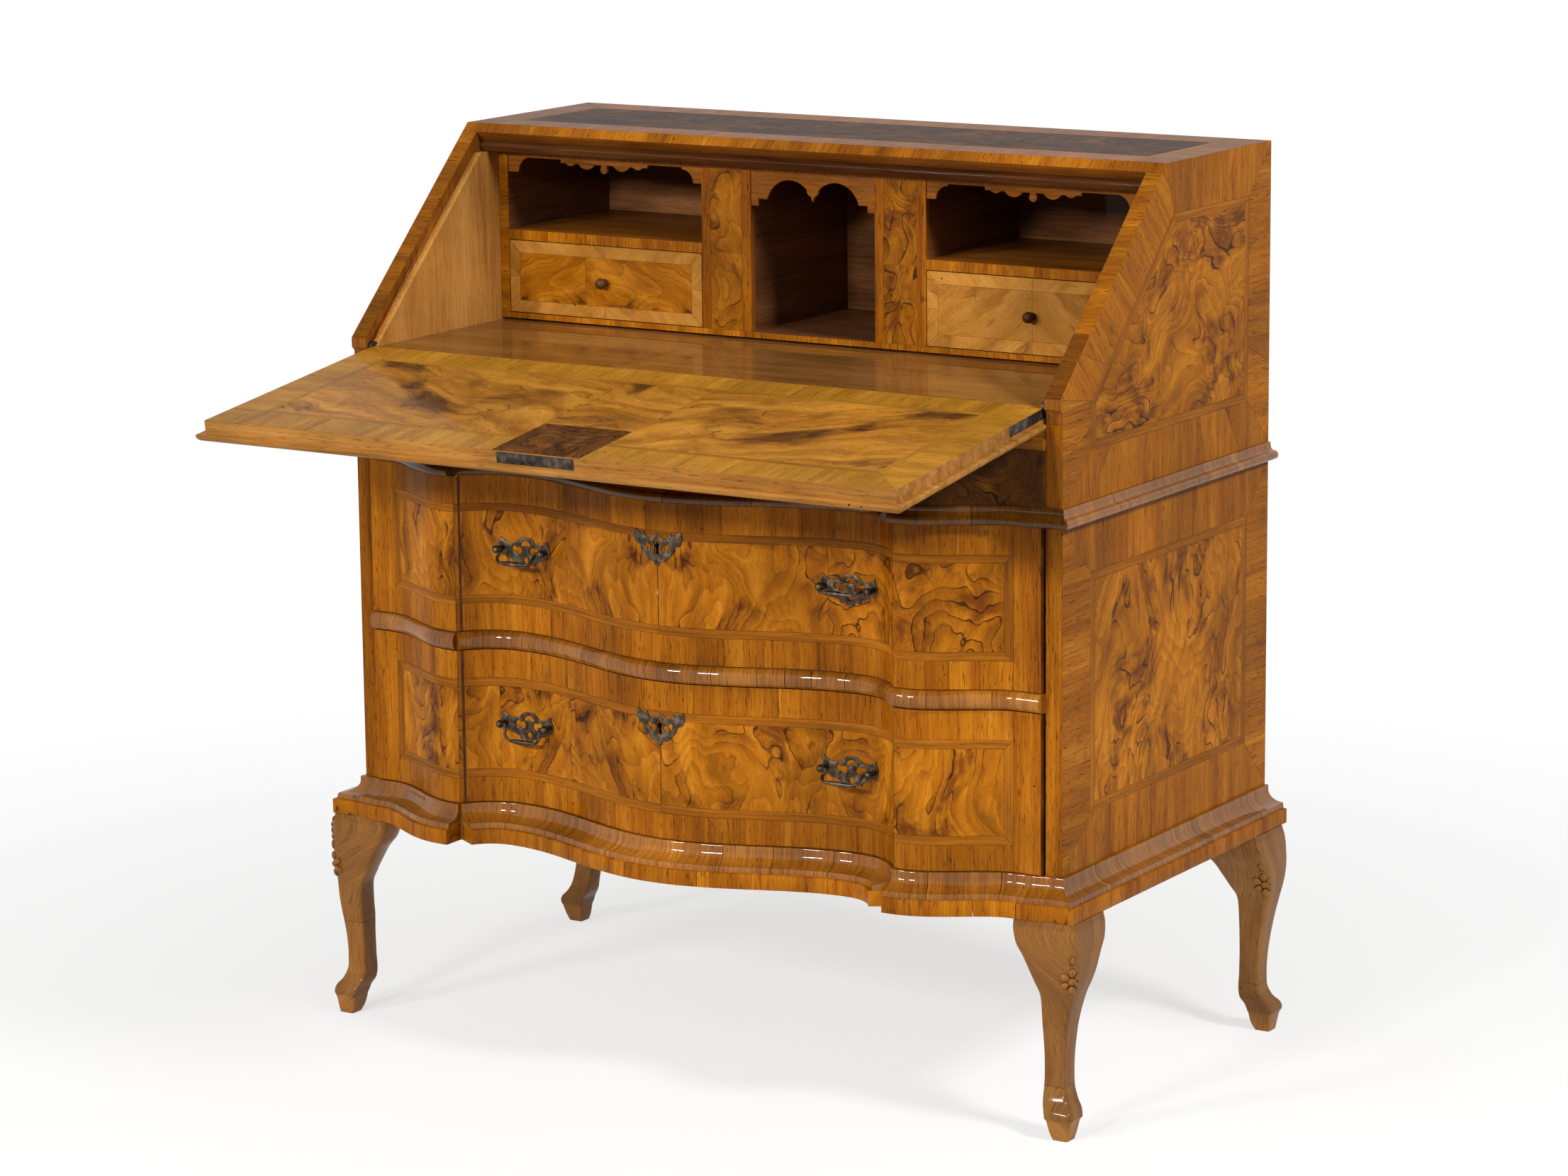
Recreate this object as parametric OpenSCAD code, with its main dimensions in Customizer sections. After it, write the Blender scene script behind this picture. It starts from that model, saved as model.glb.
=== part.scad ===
// Slant-front writing bureau on cabriole legs, with a serpentine front, two long drawers
// and a fitted interior. The fall stands open. The front looks towards -Y and the floor is z = 0.

/* [Case] */
// Width over the two sides
case_w = 940; // [920:2:960]
// Depth from the stiles to the back
case_d = 489; // [480:1:500]
// Thickness of each side
side_t = 20; // [18:0.5:22]
// Thickness of the back boards
back_t = 12; // [8:0.5:14]
// Thickness of the bottom board
bottom_t = 20; // [18:0.5:22]
// Thickness of the stiles in front of the sides
stile_t = 6; // [5:0.5:7]
// Height of the desk part above the bed
desk_h = 237.9; // [230:0.1:245]
// Thickness of the top board
top_t = 27; // [24:0.5:30]

/* [Levels] */
// Height of the legs
leg_h = 246.5; // [230:0.5:260]
// Height of the base moulding
base_h = 43; // [42:0.5:46]
// Height of the lower drawer opening
lower_h = 181.5; // [170:0.5:195]
// Thickness of the rail between the drawers
rail_h = 21.3; // [20:0.1:24]
// Height of the upper drawer opening
upper_h = 183.2; // [170:0.1:195]
// Height of the waist rail and its moulding
waist_h = 20; // [20:0.5:24]
// Height of the curved panel above the waist
frieze_h = 62.5; // [50:0.5:63]
// Thickness of the ledge over that panel
ledge_t = 12; // [10:0.5:12]
// Height of the rail under the bed
bed_rail_h = 16.5; // [16.5:0.5:20]
// Thickness of the writing bed
bed_t = 18; // [16:0.5:18]

/* [Legs] */
// Width of each leg at the knee
knee_w = 76.6; // [72:0.1:78]
// Length of the round tenon of each leg
leg_pin_h = 14; // [10:0.5:16]

/* [Serpentine plan] */
// Half width of the middle bow
bow_half = 226; // [215:1:227]
// How far the bow stands out of the hollows
bow_rise = 55.5; // [40:0.5:60]
// How far the hollows stand in front of the stiles
hollow_y = 19.5; // [15:0.5:25]
// Where the hollow starts to sweep out to the crease
cove_start = 228; // [228:1:235]
// Distance of each crease from the middle
crease_x = 292; // [285:1:296]
// How far the crease stands in front of the stiles
crest_y = 56; // [50:0.5:60]
// Where the outer curve starts
crest_end = 300; // [298:1:306]
// Width of the straight strip at each end of the long drawers
edge_w = 22.5; // [18:0.5:32]
// How far the drawers stand in front of the stiles
edge_y = 6; // [3:0.5:8]

/* [Mouldings] */
// How far the base moulding stands out
base_out = 29; // [27:0.5:32]
// How far the waist bead stands out
waist_out = 13.4; // [12:0.1:16]
// How far the bead between the drawers stands out
bead_out = 8; // [5:0.5:10]

/* [Slant and fall] */
// Slope of the closed fall
slant = 43.6; // [42:0.1:45]
// How far the open fall hangs below level
droop = 7.5; // [4:0.1:7.5]
// Distance of the fall pivots behind the stile front
pin_y = 5; // [5:0.5:6]
// Thickness of the inner layer of the fall
fall_in = 14.5; // [14:0.5:16]
// Thickness of the outer layer of the fall
fall_out = 8; // [7:0.5:8]
// How far the outer layer overhangs the case
lip = 8.5; // [7:0.5:9]
// Radius of the fall pivot pins
pivot_r = 3; // [2.5:0.1:3.2]

/* [Drawers] */
// Gap around each long drawer front
front_gap = 0.8; // [0.5:0.1:1.5]
// Gap at each end of the long drawers
end_gap = 2.5; // [1.5:0.1:3]
// Thickness of the long drawer fronts
front_t = 26; // [22:0.5:28]
// Thickness of the drawer box sides
box_t = 12; // [9:0.5:14]
// How far the long drawer boxes stop below the top of their fronts
box_drop = 14; // [10:0.5:30]
// Distance of each pull from the middle
pull_x = 217; // [212:1:220]
// Width of the pierced plate behind each pull
pull_w = 74.6; // [72:0.1:78]
// Width of the pierced plate round each keyhole
key_w = 64.4; // [60:0.1:68]
// Distance between the two posts of a pull
post_gap = 62; // [60:0.5:64]
// Radius of the post heads
head_r = 4.7; // [4.4:0.1:5]
// How far the bail hangs below its posts
bail_drop = 18; // [16:0.5:20]
// Thickness of the metal plates
plate_t = 2; // [1.5:0.1:2.4]
// Travel of the lock bolts
bolt_travel = 8; // [6:0.5:8]

/* [Fittings] */
// Distance of the fittings behind the stile front
fit_y = 256; // [252:1:262]
// Half width of the middle compartment
arch_half = 84; // [80:1:88]
// Half width over the two pilasters
bay_in = 152; // [148:1:156]
// Height of the small drawer openings
small_h = 88; // [80:0.5:90]
// Thickness of the fittings shelves
shelf_t = 12; // [9:0.5:13]
// Radius of the small drawer knobs
knob_r = 6.6; // [5:0.1:8]

/* [Well] */
// Half width of the well cover
cover_half = 118; // [110:1:122]
// Front edge of the well cover
cover_y = 32; // [28:1:40]
// Length of the well cover
cover_len = 258; // [240:1:262]
// Thickness of the well cover
cover_t = 7; // [5:0.5:8]

/* [Hidden] */
$fn = 48;
bow_steps = 22;
cove_steps = 8;
ogee_steps = 14;
case_half = case_w / 2;
inner_half = case_half - side_t;
drawer_half = inner_half - end_gap;
ogee_end = drawer_half - edge_w;
corner_x = case_half + base_out;
bottom_z = leg_h + bottom_t;
base_top = leg_h + base_h;
rail_z = base_top + lower_h;
rail_top = rail_z + rail_h;
waist_z = rail_top + upper_h;
waist_top = waist_z + waist_h;
ledge_z = waist_top + frieze_h;
bed_rail_z = ledge_z + ledge_t;
bed_under = bed_rail_z + bed_rail_h;
bed_z = bed_under + bed_t;
case_h = bed_z + desk_h;
back_y = case_d - back_t;
rail_d = 70;
seat_gap = 0.3;
touch = 0.5;
fit_gap = 0.2;
// Where the long drawer boxes end
box_back = back_y - 22;
lower_z = base_top + front_gap;
upper_z = rail_top + front_gap - 0.1;
lower_front_h = lower_h - 2 * front_gap;
upper_front_h = upper_h - 2 * front_gap - 0.3;
lower_pull_z = base_top + 95.5;
upper_pull_z = rail_top + 97.7;
key_drop = 50;
lower_key_z = lower_z + lower_front_h - key_drop;
upper_key_z = upper_z + upper_front_h - key_drop;
post_y = -36;
fall_t = fall_in + fall_out;
slope_off = fall_in - touch;
bevel_w = 14;
slope_len = (desk_h - slope_off * cos(slant)) / sin(slant);
wall_s = slope_len - bevel_w;
fall_len = wall_s - front_gap;
fall_half = inner_half - 3;
core_half = fall_half - 7;
lip_half = fall_half + lip;
lip_start = 16;
lip_top_s = fall_len + lip;
lock_half = 35;
fall_front = -lip_top_s * cos(droop) + fall_in * sin(droop) + pin_y;
origin_y = -(fall_front + case_d) / 2;
lining_t = 9;
fit_half = inner_half - lining_t - seat_gap;
fit_side_t = 12.7;
bay_out = fit_half - fit_side_t;
fit_foot = 2.5;
fit_floor_t = 7;
fit_floor = bed_z + fit_foot + fit_floor_t;
shelf_z = fit_floor + small_h;
fit_top_z = case_h - top_t - seat_gap - shelf_t;
fit_back = back_y - 6.5;
arch_spring = fit_top_z - 41;
small_gap = 0.8;
small_front_t = 12;
small_box_h = small_h - 7;
knob_z = fit_floor + small_h / 2;
well_half = cover_half - 6;
well_y0 = cover_y + 6;
well_y1 = fit_y - 16;
well_wall_t = 10;
// Rest angles of the four bails, from hanging straight down
upper_left_lift = 48;
upper_right_lift = 84;
lower_left_lift = 4;
lower_right_lift = 52;
walnut = "#8a5a2b";
dark_walnut = "#5c3a1e";
pine = "#a5814f";
bronze = "#4c4434";
iron = "#3a3836";

// Which node to build

// Plan curve of the front: a bow, a hollow, a crease and an outer curve on each side.
cove_dx = crease_x - cove_start;
cove_dy = crest_y - hollow_y;
cove_r = (cove_dx * cove_dx + cove_dy * cove_dy) / (2 * cove_dy);

function half_wave(a, span) = (1 + cos(180 * a / span)) / 2;
function cove_part(a) = -hollow_y - cove_r + sqrt(cove_r * cove_r - (a - cove_start) * (a - cove_start));
function outer_part(a) = -edge_y - (crest_y - edge_y) * half_wave(a - crest_end, ogee_end - crest_end);
function front_at(a) =
    a <= bow_half ? -hollow_y - bow_rise * half_wave(a, bow_half) :
    a <= cove_start ? -hollow_y :
    a <= crease_x ? cove_part(a) :
    a <= crest_end ? -crest_y :
    a <= ogee_end ? outer_part(a) : -edge_y;
function front_y(x) = front_at(abs(x));
function case_y(x) = abs(x) < inner_half ? front_y(x) : 0;
function ease_y(a) = -edge_y * half_wave(a - ogee_end, case_half - ogee_end);
function smooth_y(x) = abs(x) <= ogee_end ? front_y(x) : ease_y(abs(x));
function both_ways(v) = concat([for (i = [len(v) - 1 : -1 : 1]) -v[i]], v);

bow_xs = [for (i = [0 : bow_steps]) bow_half * i / bow_steps];
cove_xs = [for (i = [0 : cove_steps]) cove_start + cove_dx * i / cove_steps];
ogee_xs = [for (i = [0 : ogee_steps]) crest_end + (ogee_end - crest_end) * i / ogee_steps];
curve_xs = concat(bow_xs, cove_xs, ogee_xs);
drawer_xs = both_ways(concat(curve_xs, [drawer_half]));
rail_xs = both_ways(concat(curve_xs, [drawer_half, inner_half - 0.01]));
board_xs = both_ways(concat(curve_xs, [drawer_half, inner_half]));
case_xs = both_ways(concat(curve_xs, [drawer_half, inner_half, case_half]));
ease_xs = [(ogee_end + drawer_half) / 2, drawer_half, inner_half, (inner_half + case_half) / 2, case_half];
mould_xs = both_ways(concat(curve_xs, ease_xs));

// Point on the slant plane frame: distance up the slope from the pivot, and depth outwards.
function slope_pt(s, depth) = [
    pin_y + s * cos(slant) - depth * sin(slant),
    bed_z + s * sin(slant) + depth * cos(slant)];

// Profiles as distance out and height below the moulding's top.
cove_w = base_out - 10;
base_cove = [for (t = [0 : 11.25 : 90]) [base_out - 5 - cove_w * cos(t), -5.5 - 13.5 * sin(t)]];
base_fascia = [[base_out - 4, -24.5], [base_out - 3, -25.5], [base_out, -25.5], [base_out, -base_h]];
base_profile = concat([[0, 0], [4.5, 0]], base_cove, base_fascia, [[0, -base_h]]);
bead_r = 5.2;
waist_cove_w = waist_out - bead_r - 3.5;
waist_cove = [for (t = [0 : 22.5 : 90]) [3.5 + waist_cove_w * (1 - cos(t)), -3.5 - 6.1 * sin(t)]];
waist_bead = [for (t = [72 : -18 : -90]) [waist_out - bead_r + bead_r * cos(t), -14.8 + bead_r * sin(t)]];
waist_profile = concat([[0, 0], [3, 0]], waist_cove, waist_bead, [[0, -20]]);
bead_half = rail_h / 2 - 0.25;
rail_profile = [for (t = [90 : -18 : -90]) [abs(t) == 90 ? 0 : bead_out * cos(t), bead_half * sin(t)]];

module in_place()
    translate([0, origin_y, 0])
        children();

module along_x(x0, x1)
    translate([x0, 0, 0])
        rotate([90, 0, 90])
            linear_extrude(x1 - x0)
                children();

module along_y(y0, y1)
    translate([0, y1, 0])
        rotate([90, 0, 0])
            linear_extrude(y1 - y0)
                children();

module block(x0, x1, y0, y1, z0, z1)
    translate([x0, y0, z0])
        cube([x1 - x0, y1 - y0, z1 - z0]);

module both_sides() {
    children();
    mirror([1, 0, 0])
        children();
}

// Board from the curved front back to a straight line.
module curved_board(xs, back, z0, z1)
    translate([0, 0, z0])
        linear_extrude(z1 - z0)
            polygon(concat([for (x = xs) [x, case_y(x)]], [[xs[len(xs) - 1], back], [xs[0], back]]));

// Curved skin between two distances behind the plan curve.
module curved_skin(xs, near, far, z0, z1)
    translate([0, 0, z0])
        linear_extrude(z1 - z0)
            polygon(concat([for (x = xs) [x, front_y(x) + near]],
                [for (i = [len(xs) - 1 : -1 : 0]) [xs[i], front_y(xs[i]) + far]]));

// Rings of points joined into one closed body.
module lofted(rings) {
    n = len(rings[0]);
    last = len(rings) - 1;
    sides = [for (k = [0 : last - 1], i = [0 : n - 1]) each [
        [k * n + i, (k + 1) * n + i, k * n + (i + 1) % n],
        [k * n + (i + 1) % n, (k + 1) * n + i, (k + 1) * n + (i + 1) % n]]];
    first_cap = [[for (i = [0 : n - 1]) i]];
    last_cap = [[for (i = [n - 1 : -1 : 0]) last * n + i]];
    polyhedron([for (r = rings) each r], concat(first_cap, last_cap, sides), 10);
}

function out_of(p, q) = [q[1] - p[1], p[0] - q[0]] / norm(q - p);
function joint_out(a, b) = (a + b) / (1 + a * b);
function path_out(p, i, ends) =
    i == 0 ? [-ends, -1] :
    i == len(p) - 1 ? [ends, -1] :
    joint_out(out_of(p[i - 1], p[i]), out_of(p[i], p[i + 1]));

// Front moulding: its outer part follows the smooth path and its back the case.
module front_moulding(xs, profile, top, ends) {
    path = [for (x = xs) [x, ends == 1 ? smooth_y(x) : front_y(x)]];
    lofted([for (i = [0 : len(xs) - 1])
        let (v = path_out(path, i, ends), back = ends == 1 ? case_y(xs[i]) : front_y(xs[i]))
        [for (q = profile) q[0] == 0 ? [xs[i], back, top + q[1]] :
            [xs[i] + q[0] * v[0], path[i][1] + q[0] * v[1], top + q[1]]]]);
}

module side_moulding(profile, top, out)
    both_sides()
        difference() {
            translate([case_half, 0, top])
                along_y(-out, case_d)
                    polygon(profile);
            translate([case_half, 0, 0])
                rotate([0, 0, -45])
                    block(-60, 60, -60, 0, top - 60, top + 10);
        }

module side_shape()
    polygon([[stile_t, bottom_z], [case_d, bottom_z], [case_d, case_h], slope_pt(slope_len, slope_off),
        slope_pt(0, slope_off), [-4.4, bed_z - 1.3], [-2.2, bed_z - 2.7], [-0.2, bed_z - 5.5],
        [0.6, bed_z - 9], [0, bed_z - 12.5], [0, bed_under], [stile_t, bed_under]]);

module side_body()
    difference() {
        along_x(inner_half, case_half)
            side_shape();
        translate([inner_half - 1, pin_y, bed_z])
            rotate([0, 90, 0])
                cylinder(r = pivot_r + 0.3, h = 10.5);
    }

module side_right()
    color(walnut)
        in_place()
            side_body();

module side_left()
    color(walnut)
        in_place()
            mirror([1, 0, 0])
                side_body();

module stiles()
    color(walnut)
        in_place()
            both_sides()
                block(inner_half, case_half, 0, stile_t, bottom_z, bed_under);

// Linings of the desk part, with room for the pivot eyes.
module side_linings()
    color(walnut)
        in_place()
            both_sides()
                difference() {
                    along_x(inner_half - lining_t, inner_half)
                        polygon([[pin_y + 0.8, bed_z], [back_y - seat_gap, bed_z],
                            [back_y - seat_gap, case_h - top_t - seat_gap],
                            [rail_strip_back + seat_gap, case_h - top_t - seat_gap],
                            [rail_strip_back + seat_gap, rail_strip_z - seat_gap],
                            [lining_top_y, rail_strip_z - seat_gap]]);
                    eye_room();
                }

rail_strip_z = case_h - top_t - 6.4;
rail_strip_back = slope_pt(wall_s, -touch)[0] + 12;
lining_top_y = pin_y + 0.8 + (rail_strip_z - seat_gap - bed_z) / tan(slant);

module eye_room()
    translate([fall_half - 3.5, pin_y, bed_z])
        rotate([0, 90, 0])
            cylinder(r = 6.8, h = 10);

module top_board()
    color(walnut)
        in_place()
            difference() {
                along_x(-inner_half, inner_half)
                    polygon([[case_d, case_h - top_t], [case_d, case_h], slope_pt(slope_len, slope_off),
                        slope_pt(wall_s, slope_off), slope_pt(wall_s, -touch),
                        [rail_strip_back, case_h - top_t]]);
                on_slope()
                    block(-10.6, 10.6, wall_s - 1, wall_s + bolt_travel + 2, 4.4, 10.6);
            }

// Strip under the top board that the closed fall meets.
module top_rail()
    color(dark_walnut)
        in_place()
            along_x(-inner_half, inner_half)
                polygon([slope_pt(wall_s, -touch), slope_pt(wall_s - 8, -touch),
                    [rail_strip_back - 13.5, rail_strip_z], [rail_strip_back, rail_strip_z],
                    [rail_strip_back, case_h - top_t]]);

// Frame of the closed fall: y runs up the slope and z outwards.
module on_slope()
    translate([0, pin_y, bed_z])
        rotate([slant, 0, 0])
            children();

module back_boards()
    color(pine)
        in_place()
            block(-inner_half, inner_half, back_y, case_d, bottom_z, case_h - top_t);

module leg_sockets()
    for (y = [leg_pin_in - base_out, leg_back_y - leg_pin_in])
        both_sides()
            translate([corner_x - leg_pin_in, y, leg_h - 1])
                cylinder(r = leg_pin_r + fit_gap, h = leg_pin_h + 1.3);

module case_bottom()
    color(pine)
        in_place()
            difference() {
                curved_board(case_xs, case_d, leg_h, bottom_z);
                leg_sockets();
            }

module bottom_rail()
    color(walnut)
        in_place()
            curved_board(board_xs, rail_d, bottom_z, base_top);

// Mortise for a drawer bolt in the rail over it.
module bolt_mortise(z)
    block(-bolt_half - 1.5, bolt_half + 1.5, bolt_y0 - 1, bolt_y1 + 1, z - 1, z + bolt_travel + 1.5);

module drawer_rail()
    color(walnut)
        in_place()
            difference() {
                curved_board(board_xs, rail_d, rail_z, rail_top);
                bolt_mortise(rail_z);
            }

module rail_bead()
    color(walnut)
        in_place()
            front_moulding(drawer_xs, rail_profile, rail_z + rail_h / 2, 0);

module waist_rail()
    color(walnut)
        in_place()
            difference() {
                curved_board(board_xs, rail_d, waist_z, waist_top);
                bolt_mortise(waist_z);
            }

module waist_moulding_front()
    color(walnut)
        in_place()
            front_moulding(mould_xs, waist_profile, waist_top, 1);

module base_moulding_front()
    color(walnut)
        in_place()
            front_moulding(mould_xs, base_profile, base_top, 1);

module side_mouldings()
    color(walnut)
        in_place() {
            side_moulding(waist_profile, waist_top, waist_out);
            side_moulding(base_profile, base_top, base_out);
        }

module frieze_panel()
    color(walnut)
        in_place()
            curved_skin(rail_xs, 0, 22, waist_top, ledge_z);

// Ledge with the rail under the bed, cut back under the turning edge of the fall.
module frieze_ledge()
    color(walnut)
        in_place() {
            curved_board(rail_xs, ledge_back, ledge_z, bed_rail_z);
            along_x(-inner_half + 0.01, inner_half - 0.01)
                polygon([[0, bed_rail_z], [ledge_back, bed_rail_z], [ledge_back, bed_under],
                    [bed_front, bed_under], [bed_front, under_fall], [0, under_fall]]);
        }

ledge_back = 28;
bed_front = pin_y + fall_t * sin(droop) + 0.35;
under_fall = bed_z - (pin_y + fall_t * sin(droop)) * tan(droop) - fall_t * cos(droop) - touch;

module writing_bed()
    color(walnut)
        in_place()
            difference() {
                block(-inner_half, inner_half, bed_front, back_y, bed_under, bed_z);
                block(-well_half, well_half, well_y0, well_y1, bed_under - 1, bed_z + 1);
                block(-cover_half - 0.4, cover_half + 0.4, cover_y - 0.4, back_y - 4,
                    bed_z - cover_t - seat_gap - 0.3, bed_z + 1);
                both_sides()
                    eye_room();
            }

module well_cover()
    color(walnut)
        in_place()
            block(-cover_half, cover_half, cover_y, cover_y + cover_len, bed_z - cover_t - seat_gap,
                bed_z - seat_gap);

module dust_board()
    color(pine)
        in_place()
            block(-inner_half, inner_half, rail_d, back_y, waist_top - 12, waist_top);

module well_box()
    color(pine)
        in_place()
            difference() {
                block(-well_half - well_wall_t, well_half + well_wall_t, well_y0 - well_wall_t,
                    well_y1 + well_wall_t, waist_top, bed_under);
                block(-well_half, well_half, well_y0, well_y1, waist_top - 1, bed_under + 1);
            }

module drawer_runners()
    color(pine)
        in_place()
            both_sides() {
                block(inner_half - 30, inner_half, rail_d, back_y, bottom_z, lower_z - seat_gap);
                block(inner_half - 30, inner_half, rail_d, back_y, rail_z, upper_z - seat_gap);
            }

// Legs, as rounded square sections: height, half side, and reach from the moulding's corner.
leg_k = knee_w / 76.6;
leg_pin_in = 51 * leg_k;
leg_pin_r = 11 * leg_k;
leg_back_y = case_d - 7.5;
leg_rows = [[0, 9.3, -4.8], [8, 11.8, -3.4], [18, 13.8, -2.6], [24, 15.4, -1.6], [32, 15.9, -2.8],
    [42, 15.1, -8.2], [58, 13.1, -12.4], [74, 12.7, -12.6], [92, 13, -11.8], [110, 14, -10], [138, 16.4, -6],
    [162, 19.6, -1.4], [178, 25, 2], [190, 28.8, 4.5], [206, 33.5, 6.5], [220, 38, 6], [235, 39.2, 3.7],
    [246.5, 38, 0.5]];
leg_scale = leg_h / (246.5 * leg_k);

function leg_ring(cx, h, r, z) = [for (q = [0 : 3], k = [0 : 4])
    let (a = q * 90 + k * 22.5, m = q * 90 + 45)
    [cx + (h - r) * sign(cos(m)) + r * cos(a), -cx + (h - r) * sign(sin(m)) + r * sin(a), z]];

module leg()
    lofted(concat(
        [for (r = leg_rows * leg_k) leg_ring(r[2] - r[1], r[1], 0.24 * r[1], r[0] * leg_scale)],
        [for (z = [leg_h, leg_h + leg_pin_h]) leg_ring(-leg_pin_in, leg_pin_r, leg_pin_r - 0.2, z)]));

module leg_front()
    translate([corner_x, -base_out, 0])
        leg();

module leg_back()
    translate([corner_x, leg_back_y, 0])
        mirror([0, 1, 0])
            leg();

module leg_front_right()
    color(walnut)
        in_place()
            leg_front();

module leg_front_left()
    color(walnut)
        in_place()
            mirror([1, 0, 0])
                leg_front();

module leg_back_right()
    color(walnut)
        in_place()
            leg_back();

module leg_back_left()
    color(walnut)
        in_place()
            mirror([1, 0, 0])
                leg_back();

module pivot_sockets()
    color(iron)
        in_place()
            both_sides()
                translate([inner_half - 2, pin_y, bed_z])
                    rotate([0, 90, 0])
                        difference() {
                            cylinder(r = 6.4, h = 2);
                            translate([0, 0, -1])
                                cylinder(r = pivot_r + 0.05, h = 4);
                        }

// Fittings: floor on thin feet, partitions, shelves, top and back.
module fittings_floor()
    color(walnut)
        in_place() {
            block(-fit_half, fit_half, fit_y, fit_back, bed_z + fit_foot, fit_floor);
            both_sides()
                block(fit_half - 12, fit_half, fit_y + 10, fit_back, bed_z, bed_z + fit_foot);
        }

module fittings_partitions()
    color(walnut)
        in_place()
            both_sides() {
                block(bay_out, fit_half, fit_y, fit_back, fit_floor, fit_top_z);
                block(arch_half, arch_half + 8, fit_y + 8, fit_back, fit_floor, fit_top_z);
                block(bay_in - 8, bay_in, fit_y + 8, fit_back, fit_floor, fit_top_z);
            }

// Shelf of each bay, and the board over the whole set.
module fittings_shelves()
    color(walnut)
        in_place() {
            both_sides()
                block(bay_in, bay_out, fit_y, fit_back, shelf_z, shelf_z + shelf_t);
            block(-fit_half, fit_half, fit_y, fit_back, fit_top_z, fit_top_z + shelf_t);
        }

module fittings_back()
    color(dark_walnut)
        in_place()
            block(-fit_half, fit_half, fit_back, fit_back + 6, bed_z, fit_top_z + shelf_t);

module pilaster_fronts()
    color(walnut)
        in_place()
            both_sides()
                block(arch_half, bay_in, fit_y, fit_y + 8, fit_floor, fit_top_z);

module corner_bracket(w)
    difference() {
        square([w, 20]);
        translate([w, 0])
            circle(r = w * 0.56);
    }

// Cut board along the top of a pigeonhole.
module bay_valance_shape() {
    bay_w = bay_out - bay_in;
    translate([bay_in, fit_top_z - 20])
        corner_bracket(28);
    translate([bay_out, fit_top_z - 20])
        mirror([1, 0])
            corner_bracket(34);
    translate([bay_in, fit_top_z - 2])
        square([bay_w, 2]);
    translate([(bay_in + bay_out) / 2, fit_top_z])
        intersection() {
            union() {
                translate([-62, -6])
                    square([124, 6]);
                for (s = [-1, 1]) {
                    translate([s * 25, 2])
                        circle(r = 14);
                    translate([s * 48, 0])
                        circle(r = 9);
                }
                translate([0, -11])
                    circle(r = 5);
                translate([-4, -12])
                    square([8, 12]);
            }
            translate([-70, -20])
                square([140, 20]);
        }
}

module bay_valances()
    color(walnut)
        in_place()
            both_sides()
                along_y(fit_y + 1, fit_y + 6)
                    bay_valance_shape();

module arch_shape()
    difference() {
        translate([-arch_half, arch_spring])
            square([2 * arch_half, 41]);
        difference() {
            union() {
                for (s = [-1, 1])
                    translate([s * 31, arch_spring])
                        circle(r = 32);
                translate([-74, arch_spring - 1])
                    square([148, 9]);
            }
            translate([0, fit_top_z - 19])
                circle(r = 8);
            translate([-4, fit_top_z - 20])
                square([8, 20]);
        }
    }

module arch_valance()
    color(walnut)
        in_place()
            along_y(fit_y + 1, fit_y + 6)
                arch_shape();

// Frame of the open fall: it runs from the pivot towards -y, inner face at z = 0.
module on_fall()
    translate([0, pin_y, bed_z])
        rotate([droop, 0, 0])
            children();

module keyhole_shape() {
    circle(r = 3.2);
    translate([-1.8, -9])
        square([3.6, 9]);
}

strap_len = 80;
strap_t = 3;
eye_r = 6;
fall_key_s = 28;

module strap_body(grow)
    translate([fall_half - strap_t - grow, 0, 0]) {
        translate([0, -strap_len - grow, -11.5 - grow])
            cube([strap_t + grow, strap_len + grow, 11 + grow + grow]);
        rotate([0, 90, 0])
            cylinder(r = eye_r + grow, h = strap_t + grow);
    }

module fall_board()
    color(walnut)
        in_place()
            on_fall()
                difference() {
                    union() {
                        block(-fall_half, fall_half, -fall_len, 0, -fall_in, 0);
                        block(-core_half, core_half, -fall_len + 7, 0, -fall_t, -fall_in);
                        block(-fall_half, fall_half, -lip_start, 0, -fall_t, -fall_in);
                    }
                    block(-lock_half - fit_gap, lock_half + fit_gap, -fall_len - 1, -fall_len + 45.2,
                        -12.7, -3.3);
                    block(-50.2, 50.2, -fall_len - 1, -fall_len + 2, -13.9, -1.1);
                    translate([0, -fall_len + fall_key_s, -fall_t - 1])
                        linear_extrude(fall_t - 11)
                            keyhole_shape();
                    both_sides()
                        translate([fit_gap, 0, 0])
                            strap_body(fit_gap + 0.2);
                }

module lip_edge()
    union() {
        translate([-40, 2])
            square([34, fall_out - 2]);
        translate([-40, 0])
            square([34, fall_out]);
        translate([-40, fall_out - 2])
            square([40, 2]);
        intersection() {
            translate([-fall_out + 2, fall_out - 2])
                circle(r = fall_out - 2);
            translate([-20, 0])
                square([20, fall_out]);
        }
    }

// Overhanging edge of the outer layer, rounded on three sides.
module fall_lipping()
    color(dark_walnut)
        in_place()
            on_fall()
                difference() {
                    intersection() {
                        union() {
                            both_sides()
                                translate([lip_half, 0, -fall_t])
                                    along_y(-lip_top_s, -lip_start)
                                        lip_edge();
                            block(-lip_half + 20, lip_half - 20, -lip_top_s, -lip_start, -fall_t, -fall_in);
                        }
                        union() {
                            mirror([0, 1, 0])
                                along_x(-lip_half, lip_half)
                                    translate([lip_top_s, -fall_t])
                                        lip_edge();
                            block(-lip_half, lip_half, -lip_top_s + 20, -lip_start, -fall_t, -fall_in);
                        }
                    }
                    block(-core_half, core_half, -fall_len + 7, 0, -fall_t - 1, -fall_in + 1);
                }

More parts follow.
